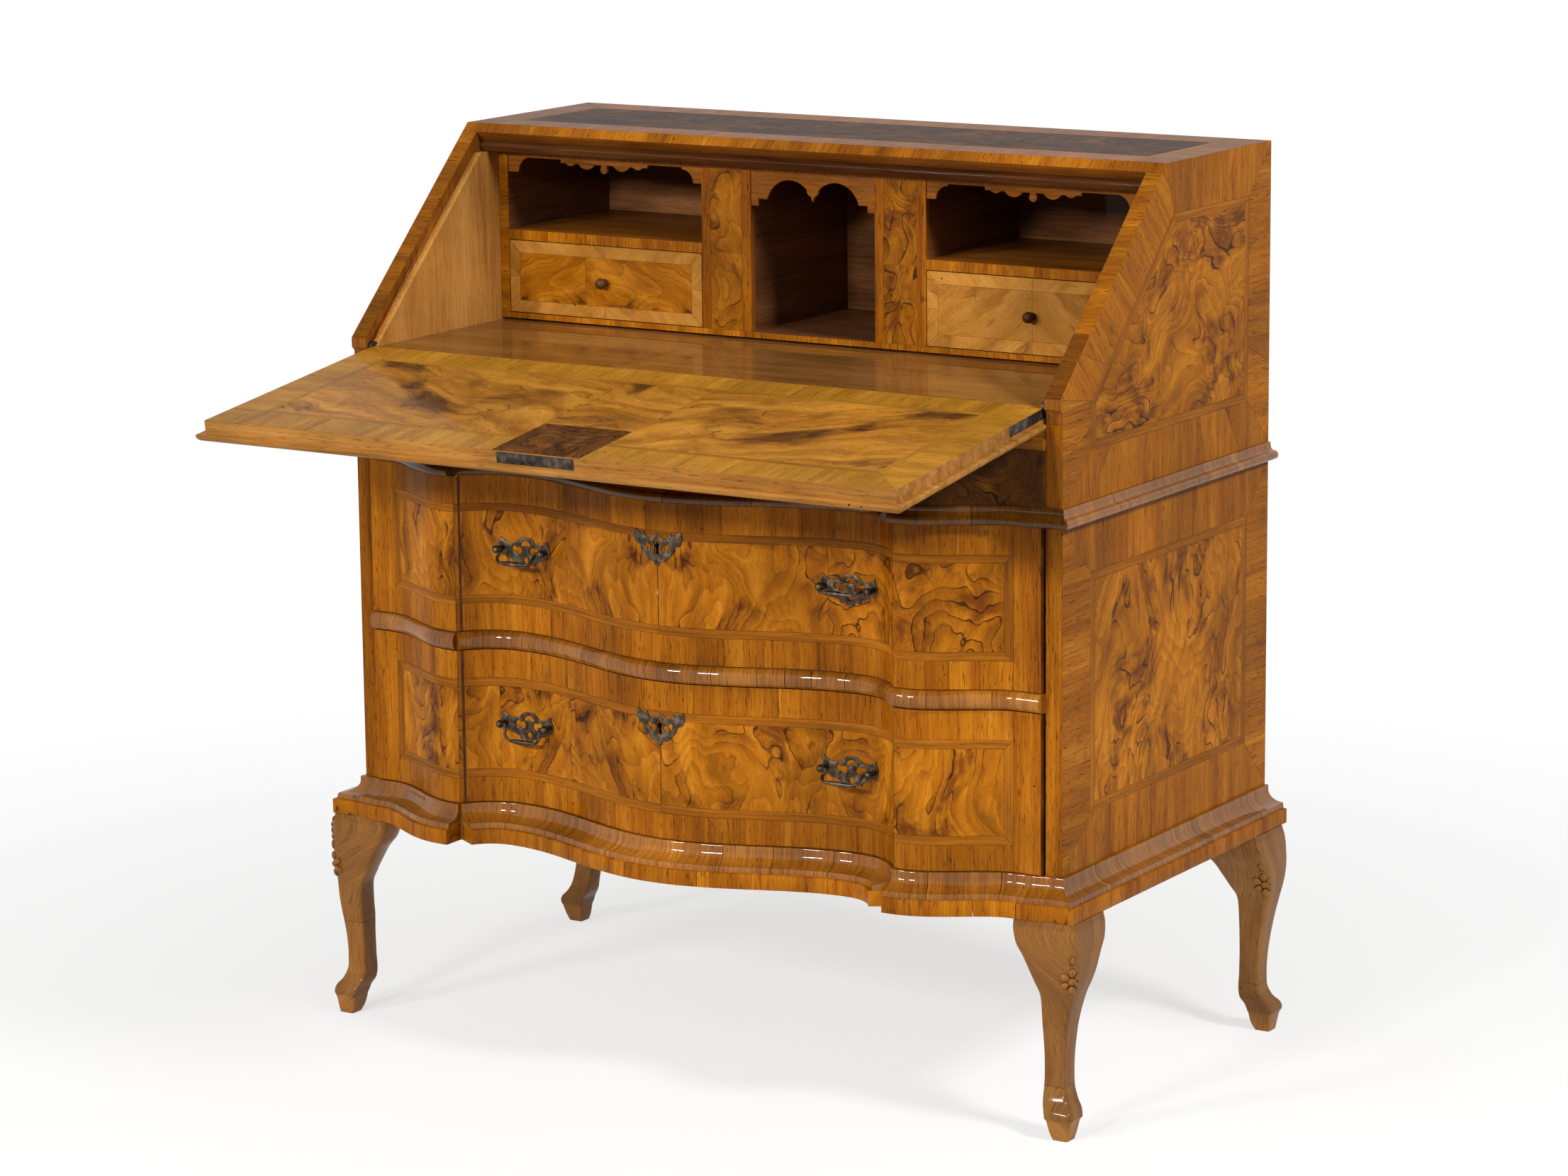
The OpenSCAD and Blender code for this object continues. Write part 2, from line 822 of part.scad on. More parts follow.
module fall_lock()
    color(iron)
        in_place()
            on_fall()
                difference() {
                    union() {
                        block(-lock_half, lock_half, -fall_len + 2, -fall_len + 45, -12.5, -3.5);
                        block(-50, 50, -fall_len, -fall_len + 2, -13.7, -1.3);
                    }
                    block(-10.2, 10.2, -fall_len - 1, -fall_len + 24, -10.2, -4.8);
                    translate([0, -fall_len + fall_key_s, -13])
                        linear_extrude(4)
                            keyhole_shape();
                }

module fall_bolt()
    color(iron)
        in_place()
            on_fall()
                block(-10, 10, -fall_len + 0.2, -fall_len + 23, -10, -5);

module fall_escutcheon()
    color(bronze)
        in_place()
            on_fall()
                translate([0, -fall_len + fall_key_s - 2, -fall_t - 1.5])
                    linear_extrude(1.5)
                        difference() {
                            circle(r = 17);
                            translate([0, 2])
                                keyhole_shape();
                        }

module fall_pivots()
    color(iron)
        in_place()
            on_fall()
                both_sides() {
                    strap_body(0);
                    translate([fall_half - strap_t, 0, 0])
                        rotate([0, 90, 0])
                            cylinder(r = pivot_r, h = 15);
                }

// Long drawers. The same modules make both, from their height and their pull and key levels.
lock_y1 = front_y(0) + front_t - fit_gap;
lock_y0 = lock_y1 - 11.6;
lock_h = 70;
bolt_y0 = lock_y0 + 3.8;
bolt_y1 = bolt_y0 + 4;
bolt_half = 12;
bolt_h = 34;
post_hole_r = 3.15;
post_seat_y = -4;

function post_xs() = [for (s = [-1, 1], k = [-1, 1]) s * pull_x + k * post_gap / 2];

module long_front(z, h, pull_z, key_z)
    difference() {
        curved_skin(drawer_xs, 0, front_t, z, z + h);
        block(-lock_half - fit_gap, lock_half + fit_gap, lock_y0 - fit_gap, 0, z + h - lock_h - fit_gap,
            z + h + 1);
        translate([0, 0, key_z])
            along_y(front_y(0) - 5, lock_y0)
                keyhole_shape();
        for (x = post_xs()) {
            translate([x, 0, pull_z])
                along_y(-40, 20)
                    circle(r = post_hole_r);
            translate([x, 0, pull_z])
                along_y(post_seat_y, 20)
                    circle(r = 8);
        }
    }

module long_box(z, h) {
    top = z + h - box_drop;
    both_sides()
        block(box_in, box_in + box_t, front_t - edge_y, box_back, z, top);
    block(-box_in, box_in, box_back - box_t, box_back, z, top);
    translate([0, 0, z])
        linear_extrude(drawer_bottom_t)
            polygon(concat([for (x = bottom_xs) [x, front_y(x) + front_t]],
                [[box_in, box_back - box_t], [-box_in, box_back - box_t]]));
}

drawer_bottom_t = 8;
box_in = drawer_half - 0.5 - box_t;
bottom_xs = both_ways(concat(curve_xs, [box_in]));

module long_lock(top)
    difference() {
        block(-lock_half, lock_half, lock_y0, lock_y1, top - lock_h, top);
        block(-bolt_half - fit_gap, bolt_half + fit_gap, bolt_y0 - fit_gap, bolt_y1 + fit_gap,
            top - bolt_h - fit_gap, top + 1);
        translate([0, 0, top - key_drop])
            along_y(lock_y0 - 1, lock_y0 + 3)
                keyhole_shape();
    }

module long_bolt(top)
    block(-bolt_half, bolt_half, bolt_y0, bolt_y1, top - bolt_h, top);

// Half outlines of the pierced plates, from the top middle round to the bottom middle.
pull_half = [[0, 14], [6.5, 13.6], [11.4, 10.3], [14.8, 6.8], [20, 6.4], [26, 7.7], [33, 13], [34.5, 8],
    [37.3, 2.5], [36, -4], [32.4, -6.6], [27, -8], [25, -10.6], [19.5, -12.2], [14, -14.5], [12.5, -18.4],
    [6, -17], [3, -21.5], [0, -22]];
key_half = [[0, 15.2], [3.5, 14.3], [7.3, 11], [11.3, 9.7], [15.2, 12.3], [17, 17.4], [19.3, 13.4],
    [24, 15.4], [30.5, 19.5], [32.2, 11], [28.8, 4], [22.6, 2], [20.9, -3.7], [18, -7.8], [9.6, -15.3],
    [3.4, -15.8], [2.4, -19.6], [0, -20.3]];

function whole(half) = concat(half, [for (i = [len(half) - 2 : -1 : 1]) [-half[i][0], half[i][1]]]);

module pull_shape()
    difference() {
        polygon(whole(pull_half * (pull_w / 74.6)));
        intersection() {
            translate([0, 2.5])
                circle(r = 8);
            translate([-9, 3.6])
                square([18, 10]);
        }
        for (s = [-1, 1]) {
            translate([s * 9.5, -1.6])
                circle(r = 4.6);
            translate([s * 15.5, 0.2])
                circle(r = 3.6);
            translate([s * post_gap / 2, 0])
                circle(r = post_hole_r);
        }
        translate([0, -12.6])
            circle(r = 3.8);
    }

module key_plate_shape()
    difference() {
        polygon(whole(key_half * (key_w / 64.4)));
        translate([0, 7])
            circle(r = 4.2);
        translate([-3.2, -8])
            square([6.4, 15]);
        for (s = [-1, 1]) {
            translate([s * 9, -0.8])
                circle(r = 4.2);
            translate([s * 14, 2.6])
                circle(r = 3);
        }
    }

module long_plates(pull_z, key_z)
    intersection() {
        curved_skin(drawer_xs, -plate_t, 0, pull_z - pull_w, key_z + key_w);
        union() {
            both_sides()
                translate([pull_x, 0, pull_z])
                    along_y(-100, 0)
                        pull_shape();
            translate([0, 0, key_z - 2])
                along_y(-100, 0)
                    key_plate_shape();
        }
    }

// Posts through the front, headed outside and riveted in a recess inside.
module long_posts(pull_z)
    for (x = post_xs())
        translate([x, 0, pull_z])
            difference() {
                translate([0, post_y, 0])
                    rotate([-90, 0, 0])
                        rotate_extrude()
                            post_half();
                translate([-10, post_y, 0])
                    rotate([0, 90, 0])
                        cylinder(r = 1.48, h = 20);
            }

module post_half() {
    intersection() {
        circle(r = head_r);
        translate([0, -10])
            square(20);
    }
    square([3, post_seat_y - post_y + 1]);
    translate([0, post_seat_y - post_y])
        square([6, 2.5]);
}

bail_arm = 24;
bail_bend = 9;

// Swelled handle hung on two pins, drawn hanging and then lifted.
module bail(side, z, lift)
    translate([side * pull_x, post_y, z])
        rotate([-lift, 0, 0]) {
            both_sides() {
                translate([bail_arm, 0, 0])
                    rotate([0, 90, 0])
                        cylinder(r = 1.4, h = 9);
                translate([bail_arm, 0, 0])
                    sphere(r = 1.8);
                translate([bail_arm, 0, bail_bend - bail_drop])
                    cylinder(r = 1.8, h = bail_drop - bail_bend);
                translate([bail_arm - bail_bend, 0, bail_bend - bail_drop])
                    rotate([90, 0, 0])
                        rotate([0, 0, -90])
                            rotate_extrude(angle = 90)
                                translate([bail_bend, 0])
                                    circle(r = 1.8);
            }
            translate([0, 0, -bail_drop])
                rotate([0, 90, 0])
                    rotate_extrude()
                        bail_bar_shape();
        }

module bail_bar_shape() {
    bar = bail_arm - bail_bend;
    bulge = 3.1;
    swell_r = (bar * bar + (bulge - 1.8) * (bulge - 1.8)) / (2 * (bulge - 1.8));
    intersection() {
        translate([bulge - swell_r, 0])
            circle(r = swell_r, $fn = 180);
        translate([0, -bar])
            square([5, 2 * bar]);
    }
}

module upper_front()
    color(walnut)
        in_place()
            long_front(upper_z, upper_front_h, upper_pull_z, upper_key_z);

module upper_box()
    color(pine)
        in_place()
            long_box(upper_z, upper_front_h);

module upper_lock()
    color(iron)
        in_place()
            long_lock(upper_z + upper_front_h);

module upper_bolt()
    color(iron)
        in_place()
            long_bolt(upper_z + upper_front_h);

module upper_plates()
    color(bronze)
        in_place()
            long_plates(upper_pull_z, upper_key_z);

module upper_posts()
    color(bronze)
        in_place()
            long_posts(upper_pull_z);

module upper_bail_left()
    color(bronze)
        in_place()
            bail(-1, upper_pull_z, upper_left_lift);

module upper_bail_right()
    color(bronze)
        in_place()
            bail(1, upper_pull_z, upper_right_lift);

module lower_front()
    color(walnut)
        in_place()
            long_front(lower_z, lower_front_h, lower_pull_z, lower_key_z);

module lower_box()
    color(pine)
        in_place()
            long_box(lower_z, lower_front_h);

module lower_lock()
    color(iron)
        in_place()
            long_lock(lower_z + lower_front_h);

module lower_bolt()
    color(iron)
        in_place()
            long_bolt(lower_z + lower_front_h);

module lower_plates()
    color(bronze)
        in_place()
            long_plates(lower_pull_z, lower_key_z);

module lower_posts()
    color(bronze)
        in_place()
            long_posts(lower_pull_z);

module lower_bail_left()
    color(bronze)
        in_place()
            bail(-1, lower_pull_z, lower_left_lift);

module lower_bail_right()
    color(bronze)
        in_place()
            bail(1, lower_pull_z, lower_right_lift);

// Small drawer in a bay: thick front, thin box.
module small_drawer() {
    x0 = bay_in + small_gap;
    x1 = bay_out - small_gap;
    z0 = fit_floor + seat_gap;
    box_y = fit_y + small_front_t;
    box_end = fit_back - 4;
    difference() {
        union() {
            block(x0, x1, fit_y, box_y, fit_floor + small_gap, shelf_z - small_gap);
            difference() {
                block(x0 + 1, x1 - 1, box_y, box_end, z0, z0 + small_box_h);
                block(x0 + 7, x1 - 7, box_y, box_end - 6, z0 + 6, z0 + small_box_h + 1);
            }
        }
        translate([(bay_in + bay_out) / 2, 0, knob_z])
            along_y(fit_y - 1, box_y + 1)
                circle(r = 2.6);
    }
}

module small_knob()
    translate([(bay_in + bay_out) / 2, fit_y, knob_z])
        rotate([90, 0, 0])
            rotate_extrude() {
                translate([0, -small_front_t])
                    square([2.5, small_front_t + 1]);
                square([4.6, 1.6]);
                square([2.8, 9]);
                intersection() {
                    translate([0, 10])
                        circle(r = knob_r);
                    square([knob_r + 1, 20]);
                }
            }

module small_drawer_right()
    color(walnut)
        in_place()
            small_drawer();

module small_drawer_left()
    color(walnut)
        in_place()
            mirror([1, 0, 0])
                small_drawer();

module small_knob_right()
    color(dark_walnut)
        in_place()
            small_knob();

module small_knob_left()
    color(dark_walnut)
        in_place()
            mirror([1, 0, 0])
                small_knob();

side_left();
side_right();
stiles();
side_linings();
top_board();
top_rail();
back_boards();
case_bottom();
bottom_rail();
drawer_rail();
rail_bead();
waist_rail();
waist_moulding_front();
base_moulding_front();
side_mouldings();
frieze_panel();
frieze_ledge();
writing_bed();
dust_board();
well_box();
drawer_runners();
leg_front_left();
leg_front_right();
leg_back_left();
leg_back_right();
pivot_sockets();
fittings_floor();
fittings_partitions();
fittings_shelves();
fittings_back();
pilaster_fronts();
bay_valances();
arch_valance();
well_cover();
fall_board();
fall_lipping();
fall_lock();
fall_bolt();
fall_escutcheon();
fall_pivots();
upper_front();
upper_box();
upper_lock();
upper_bolt();
upper_plates();
upper_posts();
upper_bail_left();
upper_bail_right();
lower_front();
lower_box();
lower_lock();
lower_bolt();
lower_plates();
lower_posts();
lower_bail_left();
lower_bail_right();
small_drawer_left();
small_drawer_right();
small_knob_left();
small_knob_right();
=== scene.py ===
import bpy
import bmesh
import math
import random
from mathutils import Matrix, Vector


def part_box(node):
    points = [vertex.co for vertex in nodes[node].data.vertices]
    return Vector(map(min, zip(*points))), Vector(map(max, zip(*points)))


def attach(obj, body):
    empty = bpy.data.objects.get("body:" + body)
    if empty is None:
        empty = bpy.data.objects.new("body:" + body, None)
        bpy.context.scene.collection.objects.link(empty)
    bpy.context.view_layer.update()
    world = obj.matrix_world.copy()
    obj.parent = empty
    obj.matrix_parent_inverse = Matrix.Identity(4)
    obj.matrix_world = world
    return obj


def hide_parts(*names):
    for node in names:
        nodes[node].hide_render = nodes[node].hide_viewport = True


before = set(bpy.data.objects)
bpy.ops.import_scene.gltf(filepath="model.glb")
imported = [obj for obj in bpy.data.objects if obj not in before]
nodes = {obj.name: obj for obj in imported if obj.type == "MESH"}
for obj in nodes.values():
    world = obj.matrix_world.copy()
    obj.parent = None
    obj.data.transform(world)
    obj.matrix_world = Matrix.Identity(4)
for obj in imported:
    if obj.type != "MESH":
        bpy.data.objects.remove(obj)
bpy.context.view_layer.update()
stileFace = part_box("stiles")[0][1]  # plane of the stiles' front, in metres
chance = random.Random(11)
print("frame loaded,", len(nodes), "nodes")


# the desk's measures in mm, from the floor up and back from the stiles
desk = {
    "caseHalf": 470, "innerHalf": 450, "drawerHalf": 447.5, "depth": 489, "top": 1042.4, "topThick": 27,
    "baseTop": 289.5, "waistLow": 675.5, "waistTop": 695.5, "ledge": 758, "bedUnder": 786.5, "bed": 804.5,
    "legs": 246.5, "bottom": 266.5,
}
plan = {
    "bowHalf": 226, "bowRise": 55.5, "hollow": 19.5, "coveStart": 228, "crease": 292, "crest": 56,
    "crestEnd": 300, "ogeeEnd": 425, "edge": 6,
}
slant = {"angle": 43.6, "pinY": 5, "depth": 14, "length": 330.27, "wall": 316.27}
fall = {"droop": 7.5, "thick": 22.5, "veneer": 0.35}


def place(x, y, z):
    return Vector((x / 1000, y / 1000 + stileFace, z / 1000))


def frontY(x):
    a = abs(x)
    if a <= plan["bowHalf"]:
        return -plan["hollow"] - plan["bowRise"] * (1 + math.cos(math.pi * a / plan["bowHalf"])) / 2
    if a <= plan["coveStart"]:
        return -plan["hollow"]
    if a <= plan["crease"]:
        wide = plan["crease"] - plan["coveStart"]
        rise = plan["crest"] - plan["hollow"]
        radius = (wide * wide + rise * rise) / (2 * rise)
        return -plan["hollow"] - radius + math.sqrt(radius * radius - (a - plan["coveStart"]) ** 2)
    if a <= plan["crestEnd"]:
        return -plan["crest"]
    if a <= plan["ogeeEnd"]:
        part = (a - plan["crestEnd"]) / (plan["ogeeEnd"] - plan["crestEnd"])
        return -plan["edge"] - (plan["crest"] - plan["edge"]) * (1 + math.cos(math.pi * part)) / 2
    return -plan["edge"]


def smoothY(x):  # the mouldings ease back to the stiles
    a = abs(x)
    if a <= plan["ogeeEnd"]:
        return frontY(a)
    part = min(1, (a - plan["ogeeEnd"]) / (desk["caseHalf"] - plan["ogeeEnd"]))
    return -plan["edge"] * (1 + math.cos(math.pi * part)) / 2


def caseY(x):
    if abs(x) <= desk["drawerHalf"]:
        return frontY(x)
    return -plan["edge"] * max(0, desk["innerHalf"] - abs(x)) / (desk["innerHalf"] - desk["drawerHalf"])


runTable = [0.0]  # at every half millimetre from the middle
for step in range(1, 1001):
    before, after = (step - 1) / 2, step / 2
    runTable.append(runTable[-1] + math.hypot(0.5, frontY(after) - frontY(before)))


def run(x):  # length along the curved front from the middle, so that the grain isn't stretched
    halves = abs(x) * 2
    low = min(int(halves), 999)
    length = runTable[low] + (runTable[low + 1] - runTable[low]) * (halves - low)
    return math.copysign(length, x)


# small helpers
def linear(hexColour):
    parts = [int(hexColour[i:i + 2], 16) / 255 for i in (1, 3, 5)]
    return tuple(c / 12.92 if c <= 0.04045 else ((c + 0.055) / 1.055) ** 2.4 for c in parts) + (1.0,)


def addNode(tree, kind, settings=None, links=None):
    node = tree.nodes.new(kind)
    for key, value in (settings or {}).items():
        if key == "stops":
            while len(node.color_ramp.elements) < len(value):
                node.color_ramp.elements.new(0.5)
            for element, (position, colour) in zip(node.color_ramp.elements, value):
                element.position = position
                element.color = colour if isinstance(colour, tuple) else linear(colour)
        elif isinstance(key, int) or key in node.inputs:
            node.inputs[key].default_value = value
        else:
            setattr(node, key, value)
    for key, source in (links or {}).items():
        tree.links.new(source, node.inputs[key])
    return node


def newMaterial(name):
    material = bpy.data.materials.new(name)
    material.use_nodes = True
    material.node_tree.nodes.clear()
    return material, material.node_tree


# Walnut veneer and timber under a thin old shellac film over open pores: a soft gloss that mirrors only
# what is bright.
polish = {"Roughness": 0.4, "Specular IOR Level": 0.02, "Coat Weight": 0.09, "Coat Roughness": 0.045}


def grainVector(tree, along):
    # the leaf's own map in metres, u along the grain, or the object's axes for solid pieces
    if along == "leaf":
        leaf = addNode(tree, "ShaderNodeAttribute", {"attribute_name": "leaf"})
        grain = addNode(tree, "ShaderNodeUVMap", {"uv_map": "grain"})
        parts = addNode(tree, "ShaderNodeSeparateColor", None, {"Color": leaf.outputs["Color"]})
        shift = addNode(tree, "ShaderNodeVectorMath", {"operation": "SCALE", 0: (7.3, 3.1, 11.7)},
                        {"Scale": parts.outputs["Green"]})
        vector = addNode(tree, "ShaderNodeVectorMath", {"operation": "ADD"},
                         {0: grain.outputs["UV"], 1: shift.outputs["Vector"]})
        return vector.outputs["Vector"], parts
    turns = {"x": (0, 0, 0), "y": (0, 0, -math.pi / 2), "z": (0, math.pi / 2, 0)}
    where = addNode(tree, "ShaderNodeTexCoord")
    vector = addNode(tree, "ShaderNodeMapping", {"Rotation": turns[along]},
                     {"Vector": where.outputs["Object"]})
    return vector.outputs["Vector"], None


def wormHoles(tree, vector, density):
    # holes 1 to 2 mm wide, one in each of the chosen cells
    holes = addNode(tree, "ShaderNodeTexVoronoi", {"Scale": density}, {"Vector": vector})
    pick = addNode(tree, "ShaderNodeSeparateColor", None, {"Color": holes.outputs["Color"]})
    few = addNode(tree, "ShaderNodeMath", {"operation": "GREATER_THAN", 1: 0.5}, {0: pick.outputs["Red"]})
    wide = addNode(tree, "ShaderNodeMath", {"operation": "MULTIPLY", 1: 0.0018 * density},
                   {0: pick.outputs["Green"]})
    hole = addNode(tree, "ShaderNodeMapRange", {"From Min": 0.0, "To Min": 1.0, "To Max": 0.0},
                   {"Value": holes.outputs["Distance"], "From Max": wide.outputs[0]})
    worm = addNode(tree, "ShaderNodeMath", {"operation": "MULTIPLY"},
                   {0: few.outputs[0], 1: hole.outputs["Result"]})
    sharp = addNode(tree, "ShaderNodeMath", {"operation": "MULTIPLY", 1: 2.2, "use_clamp": True},
                    {0: worm.outputs[0]})
    return sharp.outputs[0]


def straightWalnut(name, look, along="leaf"):
    material, tree = newMaterial(name)
    vector, leaf = grainVector(tree, along)
    bend = addNode(tree, "ShaderNodeTexNoise", {"Scale": 5.0, "Detail": 1.0}, {"Vector": vector})
    bent = addNode(tree, "ShaderNodeVectorMath",
                   {"operation": "MULTIPLY_ADD", 1: (0, look["bend"], look["bend"])},
                   {0: bend.outputs["Color"], 2: vector})
    wide = addNode(tree, "ShaderNodeMapping", {"Scale": (2.2, look["rings"], look["rings"])},
                   {"Vector": bent.outputs["Vector"]})
    rings = addNode(tree, "ShaderNodeTexNoise", {"Scale": 1.0, "Detail": 3.0, "Roughness": 0.6},
                    {"Vector": wide.outputs["Vector"]})
    narrow = addNode(tree, "ShaderNodeMapping", {"Scale": (14, 380, 380)}, {"Vector": bent.outputs["Vector"]})
    streaks = addNode(tree, "ShaderNodeTexNoise", {"Scale": 1.0, "Detail": 2.0},
                      {"Vector": narrow.outputs["Vector"]})
    both = addNode(tree, "ShaderNodeMix", {0: 0.36}, {2: rings.outputs["Fac"], 3: streaks.outputs["Fac"]})
    colour = addNode(tree, "ShaderNodeValToRGB", {"stops": look["colours"]}, {"Fac": both.outputs[0]})
    # pores, open vessels about 0.4 mm wide and some mm long
    fine = addNode(tree, "ShaderNodeMapping", {"Scale": (70, 800, 800)}, {"Vector": vector})
    vessels = addNode(tree, "ShaderNodeTexNoise", {"Scale": 1.0, "Detail": 1.0},
                      {"Vector": fine.outputs["Vector"]})
    pores = addNode(tree, "ShaderNodeMapRange", {"From Min": 0.60, "From Max": 0.72},
                    {"Value": vessels.outputs["Fac"]})
    worm = wormHoles(tree, vector, look["holes"])
    poreDark = addNode(tree, "ShaderNodeMath", {"operation": "MULTIPLY", 1: look["pores"]},
                       {0: pores.outputs["Result"]})
    dark = addNode(tree, "ShaderNodeMath", {"operation": "MAXIMUM", "use_clamp": True},
                   {0: poreDark.outputs[0], 1: worm})
    tinted = addNode(tree, "ShaderNodeMix", {"data_type": "RGBA", 7: linear("#2a1408")},
                     {0: dark.outputs[0], 6: colour.outputs["Color"]})
    finishWood(tree, tinted.outputs[2], leaf, dark.outputs[0], look)
    return material


def finishWood(tree, colour, leaf, hollow, look):
    # broad stains and faded places, 100 mm and more across, besides the leaf's own tone
    where = addNode(tree, "ShaderNodeTexCoord")
    stain = addNode(tree, "ShaderNodeTexNoise", {"Scale": 8.0, "Detail": 3.0},
                    {"Vector": where.outputs["Object"]})
    bright = addNode(tree, "ShaderNodeMapRange",
                     {"From Min": 0.3, "From Max": 0.7, "To Min": 0.78, "To Max": 1.18},
                     {"Value": stain.outputs["Fac"]})
    factor = bright.outputs["Result"]
    if leaf is not None:
        tone = addNode(tree, "ShaderNodeMath", {"operation": "MULTIPLY", 1: 2.0}, {0: leaf.outputs["Red"]})
        both = addNode(tree, "ShaderNodeMath", {"operation": "MULTIPLY"}, {0: tone.outputs[0], 1: factor})
        factor = both.outputs[0]
    toned = addNode(tree, "ShaderNodeVectorMath", {"operation": "SCALE"}, {0: colour, "Scale": factor})
    colour = toned.outputs["Vector"]
    bump = addNode(tree, "ShaderNodeBump",
                   {"Strength": look.get("relief", 0.25), "Distance": 0.0004, "invert": True}, {"Height": hollow})
    # an old surface isn't flat: shallow waves about 60 mm long break up the reflections
    wave = addNode(tree, "ShaderNodeTexNoise", {"Scale": 15.0, "Detail": 1.0},
                   {"Vector": where.outputs["Object"]})
    wavy = addNode(tree, "ShaderNodeBump", {"Strength": look.get("wave", 0.35), "Distance": 0.0016},
                   {"Height": wave.outputs["Fac"], "Normal": bump.outputs["Normal"]})
    shader = addNode(tree, "ShaderNodeBsdfPrincipled", dict(polish, **look.get("finish", {})),
                     {"Base Color": colour, "Normal": wavy.outputs["Normal"]})
    addNode(tree, "ShaderNodeOutputMaterial", None, {"Surface": shader.outputs["BSDF"]})


def burlWalnut(name, look):
    material, tree = newMaterial(name)
    vector, leaf = grainVector(tree, "leaf")
    swirl = addNode(tree, "ShaderNodeTexNoise", {"Scale": 8.0, "Detail": 1.5}, {"Vector": vector})
    swirled = addNode(tree, "ShaderNodeVectorMath", {"operation": "MULTIPLY_ADD", 1: (look["swirl"],) * 3},
                      {0: swirl.outputs["Color"], 2: vector})
    curl = addNode(tree, "ShaderNodeTexNoise", {"Scale": 45.0, "Detail": 2.5, "Roughness": 0.55},
                   {"Vector": vector})
    curled = addNode(tree, "ShaderNodeVectorMath", {"operation": "MULTIPLY_ADD", 1: (look["curl"],) * 3},
                     {0: curl.outputs["Color"], 2: swirled.outputs["Vector"]})
    # where the burl is wild, in patches 60 to 100 mm wide; elsewhere the figure is calm
    patchy = addNode(tree, "ShaderNodeMapping", {"Scale": (8, 15, 15)}, {"Vector": swirled.outputs["Vector"]})
    patch = addNode(tree, "ShaderNodeTexNoise", {"Scale": 1.0, "Detail": 3.0},
                    {"Vector": patchy.outputs["Vector"]})
    wild = addNode(tree, "ShaderNodeMapRange",
                   {"From Min": look["wild"], "From Max": look["wild"] + 0.12, "interpolation_type": "SMOOTHSTEP"},
                   {"Value": patch.outputs["Fac"]})
    # growth contours: one height field cut at even levels gives the thin dark veins
    stretched = addNode(tree, "ShaderNodeMapping", {"Scale": (look["long"], 15, 15)},
                        {"Vector": curled.outputs["Vector"]})
    field = addNode(tree, "ShaderNodeTexNoise", {"Scale": 1.0, "Detail": 2.5, "Roughness": 0.45},
                    {"Vector": stretched.outputs["Vector"]})
    # round the knots, some 100 mm apart, the contours close into rings
    knots = addNode(tree, "ShaderNodeTexVoronoi", {"feature": "SMOOTH_F1", "Scale": 9.0, "Smoothness": 0.5},
                    {"Vector": curled.outputs["Vector"]})
    knotty = addNode(tree, "ShaderNodeMath", {"operation": "MULTIPLY_ADD", 1: look["knots"]},
                     {0: knots.outputs["Distance"], 2: field.outputs["Fac"]})
    levels = addNode(tree, "ShaderNodeMath", {"operation": "MULTIPLY", 1: look["levels"]},
                     {0: knotty.outputs[0]})
    level = addNode(tree, "ShaderNodeMath", {"operation": "FRACT"}, {0: levels.outputs[0]})
    aside = addNode(tree, "ShaderNodeMath", {"operation": "SUBTRACT", 1: 0.5}, {0: level.outputs[0]})
    away = addNode(tree, "ShaderNodeMath", {"operation": "ABSOLUTE"}, {0: aside.outputs[0]})
    vein = addNode(tree, "ShaderNodeMapRange",
                   {"From Min": 0.5 - look["vein"], "From Max": 0.5 - look["vein"] * 0.3,
                                                "interpolation_type": "SMOOTHSTEP"}, {"Value": away.outputs[0]})
    strong = addNode(tree, "ShaderNodeMapRange", {"To Min": look["calm"], "To Max": 1.0},
                     {"Value": wild.outputs["Result"]})
    veins = addNode(tree, "ShaderNodeMath", {"operation": "MULTIPLY"},
                    {0: vein.outputs["Result"], 1: strong.outputs["Result"]})
    # calm wood: long soft streaks and fibres
    flame = addNode(tree, "ShaderNodeMapping", {"Scale": (look["long"], 40, 40)},
                    {"Vector": curled.outputs["Vector"]})
    flames = addNode(tree, "ShaderNodeTexNoise", {"Scale": 1.0, "Detail": 5.0, "Roughness": 0.6},
                     {"Vector": flame.outputs["Vector"]})
    fibre = addNode(tree, "ShaderNodeMapping", {"Scale": (45, 600, 600)},
                    {"Vector": curled.outputs["Vector"]})
    fibres = addNode(tree, "ShaderNodeTexNoise", {"Scale": 1.0, "Detail": 2.0},
                     {"Vector": fibre.outputs["Vector"]})
    fibrous = addNode(tree, "ShaderNodeMix", {0: 0.25}, {2: flames.outputs["Fac"], 3: fibres.outputs["Fac"]})
    # each growth layer runs from light to dark up to its vein
    shade = addNode(tree, "ShaderNodeMath", {"operation": "MULTIPLY_ADD", 1: -look["layer"]},
                    {0: aside.outputs[0], 2: fibrous.outputs[0]})
    colour = addNode(tree, "ShaderNodeValToRGB", {"stops": look["colours"]}, {"Fac": shade.outputs[0]})
